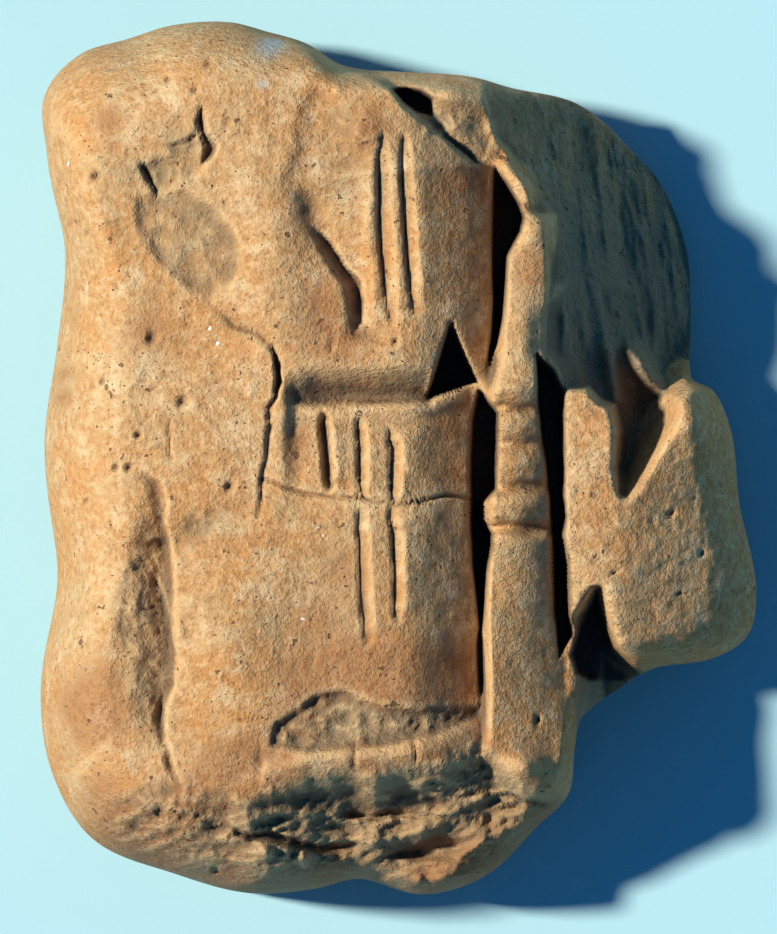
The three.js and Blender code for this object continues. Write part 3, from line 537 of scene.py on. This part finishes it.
def broken_end(x, y):
    """Lip, cracks and lumps of the broken lower end."""
    lip = [(-7.2, -16.4), (-5, -15.6), (-3, -15.45), (0, -15.35), (2, -14.9), (4.4, -13.6)]
    upper_crack = [(-2.8, -18.6), (-1.5, -18.8), (-0.6, -18.5), (1, -18.7), (2.2, -18.8)]
    lower_crack = [
        (-8.5, -19.4), (-7.8, -19.7), (-6.8, -19.6), (-6, -19.9), (-5, -20.2), (-4, -20.4), (-2.3, -20.2),
    ]
    corner_crack = [(5.0, -17.6), (5.8, -17.6), (6.4, -17.9), (8.2, -18.1)]
    return (
        ridge(x, y, lip, 0.55, 0.45)
        + groove(x, y, [(-2.5, -14.6), (-2.45, -16.2)], 0.12, 0.12, 0.35)
        + groove(x, y, [(0.7, -14.4), (0.85, -15.9)], 0.12, 0.12, 0.35)
        + groove(x, y, [(-7.2, -15.2), (-7.3, -16.8)], 0.5, 0.2, 0.2)
        + groove(x, y, upper_crack, 0.25, 0.25, 0.7)
        + groove(x, y, lower_crack, 0.35, 0.3, 1.3)
        + groove(x, y, corner_crack, 0.2, 0.15, 0.7)
        + mound(x, y, -5.1, -20.95, 0.45, 0.6, 10, 0.8)
        + mound(x, y, -6.1, -20.8, 0.3, 0.6, -20, 0.5)
        + mound(x, y, -7.0, -20.5, 0.35, 0.5, 20, 0.6)
        + ridge(x, y, [(-2.0, -20.3), (0.3, -19.8), (2.0, -19.2)], 0.35, 0.6)
        + mound(x, y, 6.5, -16.1, 1.3, 0.8, -10, 1.0)
        + mound(x, y, 6.6, -18.9, 0.9, 0.7, 0, 0.7)
        + mound(x, y, 3.0, -18.3, 1.6, 0.6, 15, 0.5)
        + mound(x, y, 2.8, -22.0, 2.4, 0.7, 8, 1.0)
    )


# place and reach of the small holes
PINHOLES = [
    (-10.0, 20.6, 0.3), (-12.2, 19.7, 0.3), (-10.75, 19.2, 0.25), (-15.8, 14.7, 0.4), (-16.3, 11.8, 0.3),
    (-11.25, 3.0, 0.45), (-8.9, -1.4, 0.4), (-14.8, -0.4, 0.3), (-14.15, -0.4, 0.3), (-0.2, 6.1, 0.3),
    (-17.2, 12.3, 0.4), (-12.9, 6.2, 0.5), (-15.6, 4.0, 0.3), (-16.4, -2.2, 0.3), (-13.6, 1.2, 0.25),
    (14.1, -2.9, 0.3), (14.6, -7.1, 0.2), (15.8, -5.0, 0.2), (11.1, -6.0, 0.22),
    (7.2, -13.6, 0.3), (6.0, -18.3, 0.45), (5.5, -19.0, 0.4), (-12.6, -18.4, 0.5), (-13.9, -19.2, 0.4),
]


def pinholes(x, y):
    """Small slanting oval holes."""
    holes = [mound(x, y, cx, cy, 0.75 * reach, 0.6 * reach, 60, 1.0) for cx, cy, reach in PINHOLES]
    return -0.45 * sum(holes)


def relief(x, y):
    sunk = sum(pit(x, y, corners, wall, depth) for corners, wall, depth in PITS)
    raised = left_bank(x, y) + knuckles(x, y) + bar_end(x, y) + ledge(x, y) + broken_end(x, y)
    return sunk + raised + channel(x, y) + cracks(x, y) + pinholes(x, y)


def rough_zone(x, y):
    """Where the skin is worn away and the crumbly body shows, 0 to 1."""
    worn = ramp(inside_by(x, y, CHANNEL) / 0.8 + 0.5)
    worn = np.maximum(worn, ramp(inside_by(x, y, SCAR) / 0.5 + 0.3))
    worn = np.maximum(worn, 0.5 * ramp(inside_by(x, y, PATCH) / 0.5 + 0.3))
    worn = np.maximum(worn, ramp((end_lip(x) + 0.5 - y) / 1.0) * ramp((x + 16.0) / 2.0))
    worn = np.maximum(worn, 0.5 * mound(x, y, -2.8, 16.5, 2.2, 3.0, 0, 1.0))
    worn = np.maximum(worn, 0.8 * mound(x, y, 2.0, 17.8, 3.0, 1.6, -35, 1.0))
    worn = np.maximum(worn, 0.8 * mound(x, y, -12.5, 14.6, 1.6, 1.4, 0, 1.0))
    worn = np.maximum(worn, 0.55 * mound(x, y, -10.4, -3.7, 2.8, 1.2, 25, 1.0))
    worn = np.maximum(worn, 0.6 * mound(x, y, -11.2, 16.6, 1.8, 1.0, 10, 1.0))
    return np.clip(worn, 0, 1)


def texture(x, y):
    """Uneven skin, and crumbly relief where the skin is gone."""
    skin = 0.20 * fractal(x, y, 5.0, 3) + 0.10 * fractal(x, y, 1.6, 7, 3)
    skin = skin + 0.04 * fractal(x, y, 0.6, 11, 3)
    crumb = 0.34 * fractal(x, y, 0.9, 23, 4, creased=True) + 0.25 * fractal(x, y, 1.8, 29, 3)
    strata = 0.95 * fractal(x * 0.34 + y * 0.08, y - 0.16 * x, 1.2, 41, 5, creased=True)
    low_end = ramp((end_lip(x) - 0.3 - y) / 1.2)
    on_flank = ramp(along(x, y, SHOULDER)[0] - 0.5)
    on_lobe = ramp(inside_by(x, y, LOBE_FOOT) / 0.6 + 0.3)
    skin = skin + 0.12 * (1 - on_lobe) * on_flank * fractal(x, 0.4 * y, 0.8, 53, 4, creased=True)
    skin = skin - 0.09 * on_lobe * fractal(x, y, 0.55, 59, 3, creased=True)
    return skin - rough_zone(x, y) * (crumb * (1 - 0.4 * low_end) + strata * low_end)


def top_surface(x, y, angle, reach):
    """The finished face, its edges made uneven by shifting places a little, rolled over to the rim."""
    rim_reach, ring, roll = rim_at(angle)
    wx = x + 0.14 * fractal(x, y, 1.4, 61, 3)
    wy = y + 0.14 * fractal(x, y, 1.4, 67, 3)
    z = ground(x, y) + relief(wx, wy)
    z = deepened(z, 0.6 * x + 0.4 * wx, 0.6 * y + 0.4 * wy)
    z = z + strokes(0.8 * x + 0.2 * wx, y) + texture(x, y)
    inward = np.clip((rim_reach - reach) / roll, 0.0, 1.0)
    rounding = 1.0 - np.sqrt(np.clip(1.0 - (1.0 - inward) ** ROLL_FULLNESS, 0, 1))
    z = np.maximum(z, ring)
    return z + (ring - z) * rounding


# ---- the mesh ------------------------------------------------------------------------------------------
def square_to_disc():
    """Grid of places on a disc: share of the reach and angle, for CELLS + 1 places each way."""
    side = np.linspace(-1.0, 1.0, CELLS + 1)
    u, v = np.meshgrid(side, side, indexing="ij")
    wide = np.abs(u) >= np.abs(v)
    ratio = np.where(wide, v / np.where(u == 0, 1, u), u / np.where(v == 0, 1, v))
    angle = np.where(wide, math.pi / 4 * ratio + np.where(u < 0, math.pi, 0.0),
                     math.pi / 2 - math.pi / 4 * ratio + np.where(v < 0, math.pi, 0.0))
    share = np.maximum(np.abs(u), np.abs(v))
    return 1.0 - (1.0 - share) ** RIM_CROWDING, angle


def top_grid():
    share, angle = square_to_disc()
    reach = share * rim_at(angle)[0]
    x = HUB[0] + reach * np.cos(angle)
    y = HUB[1] + reach * np.sin(angle)
    return x, y, top_surface(x, y, angle, reach)


def grid_faces(index):
    a, b, c, d = index[:-1, :-1], index[1:, :-1], index[1:, 1:], index[:-1, 1:]
    return np.stack([a, b, c, d], -1).reshape(-1, 4)


def rim_loop(index):
    return np.concatenate([index[:-1, 0], index[-1, :-1], index[:0:-1, -1], index[0, :0:-1]])


def ring_faces(outer, inner):
    """Faces from one ring in to the next, which has as many vertices or half as many."""
    n = len(outer)
    if len(inner) == n:
        return [(outer[k], inner[k], inner[(k + 1) % n], outer[(k + 1) % n]) for k in range(n)]
    faces = []
    for k in range(n // 2):
        a, b, c = outer[2 * k], outer[2 * k + 1], outer[(2 * k + 2) % n]
        p, q = inner[k], inner[(k + 1) % (n // 2)]
        faces += [(a, p, b), (b, p, q), (b, q, c)]
    return faces


def under_side(points, loop):
    """Rings from the rim down to the resting facet and in to its middle."""
    rim = points[loop]
    faces = []
    rings = []
    start = len(points)
    outer = loop
    plan = [(k / UNDER_RINGS, 1.0) for k in range(1, UNDER_RINGS + 1)]
    plan += [(1.0, share) for share in FACET_SHARES]
    keep = 1
    for k, (turn, share) in enumerate(plan):
        if k in HALVED_RINGS and len(outer) % 2 == 0:
            keep *= 2
        edge = rim[::keep]
        reach = (REST_SHARE + (1 - REST_SHARE) * math.cos(turn * math.pi / 2)) * share
        x = HUB[0] + (edge[:, 0] - HUB[0]) * reach
        y = HUB[1] + (edge[:, 1] - HUB[1]) * reach
        z = edge[:, 2] * (1.0 - math.sin(turn * math.pi / 2))
        lift = 0.10 * fractal(x, y, 2.5, 83, 4) + 0.06 * fractal(x, y, 0.7, 89, 3)
        z = np.maximum(z + lift * min(1.0, 3 * turn), 0.0)
        ring = start + np.arange(len(edge))
        rings.append(np.column_stack([x, y, z]))
        faces += ring_faces(outer, ring)
        start += len(edge)
        outer = ring
    faces += [(outer[0], outer[k + 1], outer[k]) for k in range(1, len(outer) - 1)]
    return np.concatenate(rings), faces


def stain(x, y, spots):
    """Soft spots of a tint: x, y, reach."""
    return np.clip(sum(mound(x, y, cx, cy, r, r, 0, 1.0) for cx, cy, r in spots), 0, 1)


# x, y and reach of the rust-brown spots, partly painted shade on the slope where the face curves down to the
# scar, and of the pale stain
RUST_AND_SHADE = [
    (2.5, 14.2, 1.6), (4.0, 14.4, 0.9), (3.0, 1.4, 1.1), (-2.6, -10.6, 1.8), (0.5, -11.6, 1.8),
    (-0.8, -12.0, 1.0), (-15.2, 17.7, 0.9), (-13.0, 6.6, 1.2), (-17.6, 3.2, 0.7), (-17.5, 4.4, 0.6),
    (-1.9, 16.9, 1.2), (-5.4, 0.9, 0.8), (-4.0, 8.0, 1.5), (-3.5, 6.0, 1.8), (-5.0, -11.5, 1.6),
    (-8.5, -15.8, 1.6), (-2.8, -5.8, 1.4), (12.6, -1.2, 1.1), (6.6, -16.5, 1.0), (-4.3, -8.4, 1.3),
    (-5.4, -13.6, 1.6), (-2.0, -15.9, 1.6), (1.6, -15.3, 1.6), (4.6, -15.4, 1.2), (4.6, -20.9, 1.4),
    (7.4, -18.4, 1.3), (-3.6, -21.6, 1.3), (-14.6, -19.2, 1.6), (-4.2, -11.4, 1.6), (1.8, -11.0, 1.8),
    (-1.0, -10.8, 2.2), (3.2, -11.8, 1.6), (-8.0, -16.6, 2.0), (-9.4, -16.9, 1.8), (-6.6, -16.0, 1.2),
    (-12.2, -18.8, 2.2), (-16.2, -14.0, 1.6), (-15.6, -11.4, 1.4), (-16.8, -12.6, 1.3),
    (-6.0, -16.6, 1.3), (1.6, -22.0, 1.4), (3.8, -21.4, 1.2), (-12.5, -20.6, 1.6), (-9.0, -21.6, 1.4),
    (-11.0, -17.6, 1.2), (-15.2, -13.6, 1.2), (10.6, 2.6, 0.9), (6.8, 9.6, 1.2), (-15.5, -17.5, 1.6),
]
PALE = [(-6.9, 21.5, 0.75), (-6.4, 21.9, 0.5), (-7.2, 19.5, 0.3)]
GLINTS = [   # white specks
    (-17.35, 15.4), (-9.9, 6.75), (-9.5, 6.0), (-5.3, 7.7), (-4.3, -3.6), (-3.95, -4.0), (-5.05, -8.3),
    (-8.0, -10.7), (0.7, 20.2), (4.5, -17.8), (8.3, -10.0),
]
GLINT_REACH = 0.16    # of each speck
HOLLOW_PASSES = 30    # blurring that finds the hollows of the surface
CREST_PASSES = 6      # and its sharp edges
TINTED_FROM = 10.5    # height from which hollows, edges, the stain and the specks show
TINTED_BLEND = 2.0


def blurred(z, passes):
    """The grid's heights, each pass mixing every one with its four neighbours."""
    for _ in range(passes):
        z = np.pad(z, 1, mode="edge")
        z = (z[:-2, 1:-1] + z[2:, 1:-1] + z[1:-1, :-2] + z[1:-1, 2:] + 2 * z[1:-1, 1:-1]) / 6
    return z


def tablet_mesh():
    x, y, z = top_grid()
    index = np.arange(x.size).reshape(x.shape)
    points = np.column_stack([x.ravel(), y.ravel(), z.ravel()])
    under, under_faces = under_side(points, rim_loop(index))
    points = np.concatenate([points, under])
    faces = grid_faces(index).tolist() + [tuple(int(v) for v in f) for f in under_faces]
    untinted = np.zeros(len(under))
    tints = {name: np.concatenate([share.ravel(), untinted]) for name, share in tints_of(x, y, z).items()}
    return points, faces, tints


def tints_of(x, y, z):
    """Where each tint of the clay shows, 0 to 1, by name; some are painted shade, on the flank, in the cuts
    and hollows, on the ledge wall and above the scar.
    """
    level_part = ramp((z - TINTED_FROM) / TINTED_BLEND)
    # painted shade: darker in the hollows of the surface
    hollow = (blurred(z, HOLLOW_PASSES) - z) * level_part
    crest = z - blurred(z, CREST_PASSES)
    beyond, side_height = flank(x, y)
    # painted shade: the right flank below the shoulder, which lies in shadow
    side = ramp((side_height + 0.9 - z) / 0.6) * ramp((beyond + 0.1) / 0.4)
    # painted shade: the ledge's upper wall, which faces away from the light
    ledge_wall_shade = ramp((4.6 - y) / 0.6) * ramp((y - 3.1) / 0.4) * ramp(x + 6) * ramp((1.6 - x) / 0.5)
    in_channel = ramp(inside_by(x, y, CHANNEL) / 0.8 + 0.5)
    # painted shade: the deep cuts, which lie in shadow, darkened nearly to black
    cuts = [ramp(inside_by(x, y, corners) / 0.3 + 0.6) for corners, wall, floor in DEEP_CUTS]
    return {
        # worn skin, and painted shade on the ledge's upper wall
        "eroded_and_ledge_shade": np.maximum(rough_zone(x, y) * (1 - 0.7 * in_channel), 0.5 * ledge_wall_shade),
        "soil": np.maximum(ramp((end_lip(x) - 0.4 - y) / 1.2), 0.6 * in_channel),
        # painted shade on the right flank, lighter towards the upper end
        "side": side * (1 - 0.55 * ramp((y - 11) / 6)),
        # painted shade in the deep cuts
        "cut": np.max(cuts, axis=0),
        # rust-brown spots, partly painted shade on the slope down to the scar
        "rust_and_shade": stain(x, y, RUST_AND_SHADE),
        "pale": stain(x, y, PALE) * level_part,
        "glint": stain(x, y, [(gx, gy, GLINT_REACH) for gx, gy in GLINTS]) * level_part,
        # painted shade in the hollows
        "hollow": np.clip(hollow / 0.35, 0, 1),
        "crest": np.clip((crest - 0.015) / 0.06, 0, 1) * level_part,
    }


def make_tablet(material):
    points, faces, tints = tablet_mesh()
    low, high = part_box("tablet")
    place = np.array([(low.x + high.x) / 2, (low.y + high.y) / 2, low.z]) / MM
    middle = (points.min(0) + points.max(0)) / 2
    shift = place - [middle[0], middle[1], points[:, 2].min()]
    mesh = bpy.data.meshes.new("tablet_skin")
    mesh.from_pydata(((points + shift) * MM).tolist(), [], faces)
    mesh.shade_smooth()
    for name, values in tints.items():
        layer = mesh.attributes.new(name, "FLOAT", "POINT")
        layer.data.foreach_set("value", values.astype(np.float32))
    mesh.materials.append(material)
    piece = bpy.data.objects.new("tablet_skin", mesh)
    bpy.context.scene.collection.objects.link(piece)
    return piece


# ---- materials -----------------------------------------------------------------------------------------
class Nodes:
    """Short way to write a material's node tree."""

    def __init__(self, name):
        self.material = bpy.data.materials.new(name)
        self.material.use_nodes = True
        self.tree = self.material.node_tree
        self.shader = self.tree.nodes["Principled BSDF"]

    def add(self, kind, values=None, **settings):
        node = self.tree.nodes.new(kind)
        for key, value in settings.items():
            setattr(node, key, value)
        for key, value in (values or {}).items():
            self.feed(node.inputs[key], value)
        return node

    def feed(self, socket, value):
        if isinstance(value, bpy.types.NodeSocket):
            self.tree.links.new(value, socket)
        else:
            socket.default_value = value

    def noise(self, place, scale, detail=3.0, rough=0.6, distortion=0.0):
        values = {"Vector": place, "Scale": scale, "Detail": detail, "Roughness": rough}
        values["Distortion"] = distortion
        return self.add("ShaderNodeTexNoise", values).outputs["Fac"]

    def band(self, value, low, high):
        values = {"Value": value, "From Min": low, "From Max": high}
        return self.add("ShaderNodeMapRange", values, clamp=True).outputs["Result"]

    def maths(self, operation, a, b):
        node = self.add("ShaderNodeMath", operation=operation)
        self.feed(node.inputs[0], a)
        self.feed(node.inputs[1], b)
        return node.outputs[0]

    def mix(self, share, a, b):
        node = self.add("ShaderNodeMix", data_type="RGBA", blend_type="MIX")
        self.feed(node.inputs[0], share)
        self.feed(node.inputs[6], a)
        self.feed(node.inputs[7], b)
        return node.outputs[2]

    def attribute(self, name):
        return self.add("ShaderNodeAttribute", attribute_name=name).outputs["Fac"]


# Colours of the clay, as red, green, blue and opacity.
TAN = (0.455, 0.275, 0.118, 1)
ORANGE = (0.46, 0.215, 0.066, 1)
CREAM = (0.58, 0.42, 0.225, 1)
DULL = (0.33, 0.255, 0.125, 1)
WARM = (0.47, 0.20, 0.055, 1)
BROWN = (0.27, 0.105, 0.033, 1)
OLIVE = (0.195, 0.168, 0.092, 1)
DRAB = (0.27, 0.18, 0.09, 1)
SOIL = (0.27, 0.13, 0.052, 1)
# painted shade of the right flank
FLANK_SHADE = (0.15, 0.135, 0.09, 1)
RUBBED = (0.60, 0.40, 0.19, 1)
# painted shade of the hollows
HOLLOW_SHADE = (0.115, 0.072, 0.04, 1)
# painted shade of the deep cuts
CUT_SHADE = (0.045, 0.028, 0.022, 1)
SPECK = (0.055, 0.027, 0.016, 1)
BLOT = (0.12, 0.05, 0.025, 1)
STAIN = (0.40, 0.40, 0.36, 1)
WHITE = (1.0, 0.97, 0.9, 1)

# Scales of the noises that mottle it, from broad to fine.
BROAD = 170
WARM_PATCH = 260
DULL_PATCH = 330
PATCHY = 620
OTHER = 900
BLOTS = 1500
GRAIN = 2400
SPECKS = 5200
FINE = 6500


def clay_colour(n, place, patchy, grain, blots):
    """Mottled clay, then the worn, soiled and stained places, from the tints laid on the mesh, with painted
    shade on the right flank, in the deep cuts and hollows, on the ledge's upper wall and above the scar.
    """
    def over(colour, share, strength, tint):
        return n.mix(n.maths("MULTIPLY", share, strength), colour, tint)

    other = n.noise(place, OTHER, 4, 0.7)
    colour = n.mix(n.band(n.noise(place, BROAD, 3), 0.38, 0.62), TAN, ORANGE)
    colour = over(colour, n.band(patchy, 0.50, 0.68), 0.7, CREAM)
    colour = over(colour, n.band(other, 0.50, 0.68), 0.55, ORANGE)
    colour = over(colour, n.band(grain, 0.52, 0.66), 0.6, CREAM)
    colour = over(colour, n.band(grain, 0.48, 0.34), 0.6, BROWN)
    colour = over(colour, n.band(n.noise(place, DULL_PATCH, 4, 0.65), 0.52, 0.70), 0.40, DULL)
    colour = over(colour, n.band(n.noise(place, WARM_PATCH, 4, 0.65, 0.3), 0.55, 0.70), 0.55, WARM)
    # worn skin, and painted shade on the ledge's upper wall
    worn = n.maths("MULTIPLY", n.attribute("eroded_and_ledge_shade"), n.band(patchy, 0.05, 0.4))
    colour = over(colour, worn, 0.9, n.mix(n.band(other, 0.4, 0.6), OLIVE, DRAB))
    soil = n.maths("MULTIPLY", n.attribute("soil"), n.band(other, 0.65, 0.35))
    colour = over(colour, soil, 0.7, SOIL)
    # rust-brown spots, partly painted shade on the slope down to the scar
    rust_and_shade = n.maths("MULTIPLY", n.attribute("rust_and_shade"), n.band(grain, 0.30, 0.58))
    colour = over(colour, rust_and_shade, 0.85, BROWN)
    # painted shade over the right flank
    colour = over(colour, n.attribute("side"), 0.75, FLANK_SHADE)
    colour = over(colour, n.attribute("crest"), 0.4, RUBBED)
    # painted shade in the hollows
    colour = over(colour, n.attribute("hollow"), 0.85, HOLLOW_SHADE)
    # painted shade in the deep cuts
    colour = over(colour, n.attribute("cut"), 0.9, CUT_SHADE)
    specks = n.band(n.noise(place, SPECKS, 1, 0.5), 0.68, 0.74)
    colour = over(colour, specks, n.band(patchy, 0.3, 0.6), SPECK)
    colour = over(colour, blots, 0.8, BLOT)
    colour = over(colour, n.attribute("pale"), 0.85, STAIN)
    return n.mix(n.band(n.attribute("glint"), 0.45, 0.7), colour, WHITE)


def clay_material():
    """Fired clay: matt, with grain and small blots that also stand in the bump."""
    n = Nodes("clay")
    place = n.add("ShaderNodeTexCoord").outputs["Object"]
    patchy = n.noise(place, PATCHY, 3, 0.65)
    grain = n.noise(place, GRAIN, 4, 0.7)
    fine = n.noise(place, FINE, 2, 0.6)
    blots = n.band(n.noise(place, BLOTS, 2, 0.6), 0.70, 0.73)
    n.feed(n.shader.inputs["Base Color"], clay_colour(n, place, patchy, grain, blots))
    rough = n.add("ShaderNodeMapRange", {"Value": grain, "To Min": 0.72, "To Max": 0.95})
    n.feed(n.shader.inputs["Roughness"], rough.outputs["Result"])
    n.shader.inputs["Specular IOR Level"].default_value = 0.25
    height = n.maths("ADD", n.maths("MULTIPLY", grain, 0.75), n.maths("MULTIPLY", fine, 0.25))
    height = n.maths("SUBTRACT", height, n.maths("MULTIPLY", blots, 0.5))
    bump = n.add("ShaderNodeBump", {"Height": height, "Strength": 0.9, "Distance": 0.3 * MM})
    n.feed(n.shader.inputs["Normal"], bump.outputs["Normal"])
    return n.material


FLOOR_CLOUDS = 30          # scale of the noise between its two tones
FLOOR_DARK = (0.315, 0.50, 0.52, 1)
FLOOR_LIGHT = (0.335, 0.52, 0.54, 1)


def floor_material():
    n = Nodes("floor")
    place = n.add("ShaderNodeTexCoord").outputs["Object"]
    n.feed(n.shader.inputs["Base Color"], n.mix(n.noise(place, FLOOR_CLOUDS, 2), FLOOR_DARK, FLOOR_LIGHT))
    n.shader.inputs["Roughness"].default_value = 0.9
    n.shader.inputs["Specular IOR Level"].default_value = 0.1
    return n.material


# ---- floor, light, camera ------------------------------------------------------------------------------
LIGHT_ELEVATION = 47.0     # degrees above the floor
LIGHT_TURN = 168.0         # degrees from +X that the light comes from
LIGHT_SPREAD = 5.0         # degrees across, which softens the shadows' edges
LIGHT_STRENGTH = 6.75
LIGHT_COLOUR = (1.0, 0.97, 0.90)
SKY_COLOUR = (0.02, 0.14, 0.36, 1)
FLOOR_REACH = 2.0          # metres from the middle of the floor to its sides
VIEW_CENTRE = (-0.52, -0.44)   # what the camera looks at, from the middle of the tablet
VIEW_HEIGHT = 48.66        # height of the picture at the face
CAMERA_DISTANCE = 800.0    # above the face's level
FACE_LEVEL = 15.0
SENSOR = 36.0


def make_floor(material):
    mesh = bpy.data.meshes.new("floor")
    corners = [(-FLOOR_REACH, -FLOOR_REACH, 0), (FLOOR_REACH, -FLOOR_REACH, 0),
               (FLOOR_REACH, FLOOR_REACH, 0), (-FLOOR_REACH, FLOOR_REACH, 0)]
    mesh.from_pydata(corners, [], [(0, 1, 2, 3)])
    mesh.materials.append(material)
    floor = bpy.data.objects.new("floor", mesh)
    bpy.context.scene.collection.objects.link(floor)


def make_light():
    key = bpy.data.lights.new("key", "SUN")
    key.energy = LIGHT_STRENGTH
    key.angle = math.radians(LIGHT_SPREAD)
    key.color = LIGHT_COLOUR
    lamp = bpy.data.objects.new("key", key)
    lamp.rotation_euler = (math.radians(90 - LIGHT_ELEVATION), 0, math.radians(LIGHT_TURN + 90))
    bpy.context.scene.collection.objects.link(lamp)
    world = bpy.data.worlds.new("studio")
    world.use_nodes = True
    world.node_tree.nodes["Background"].inputs["Color"].default_value = SKY_COLOUR
    world.node_tree.nodes["Background"].inputs["Strength"].default_value = 1.0
    bpy.context.scene.world = world


def make_camera():
    camera = bpy.data.cameras.new("camera")
    camera.sensor_width = SENSOR
    camera.lens = SENSOR * CAMERA_DISTANCE / VIEW_HEIGHT
    camera.clip_end = 10.0
    holder = bpy.data.objects.new("camera", camera)
    low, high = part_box("tablet")
    holder.location = (
        (low.x + high.x) / 2 + VIEW_CENTRE[0] * MM,
        (low.y + high.y) / 2 + VIEW_CENTRE[1] * MM,
        (CAMERA_DISTANCE + FACE_LEVEL) * MM,
    )
    bpy.context.scene.collection.objects.link(holder)
    bpy.context.scene.camera = holder


tablet = make_tablet(clay_material())
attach(tablet, "root")
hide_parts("tablet")
make_floor(floor_material())
make_light()
make_camera()
bpy.context.scene.view_settings.view_transform = "Standard"
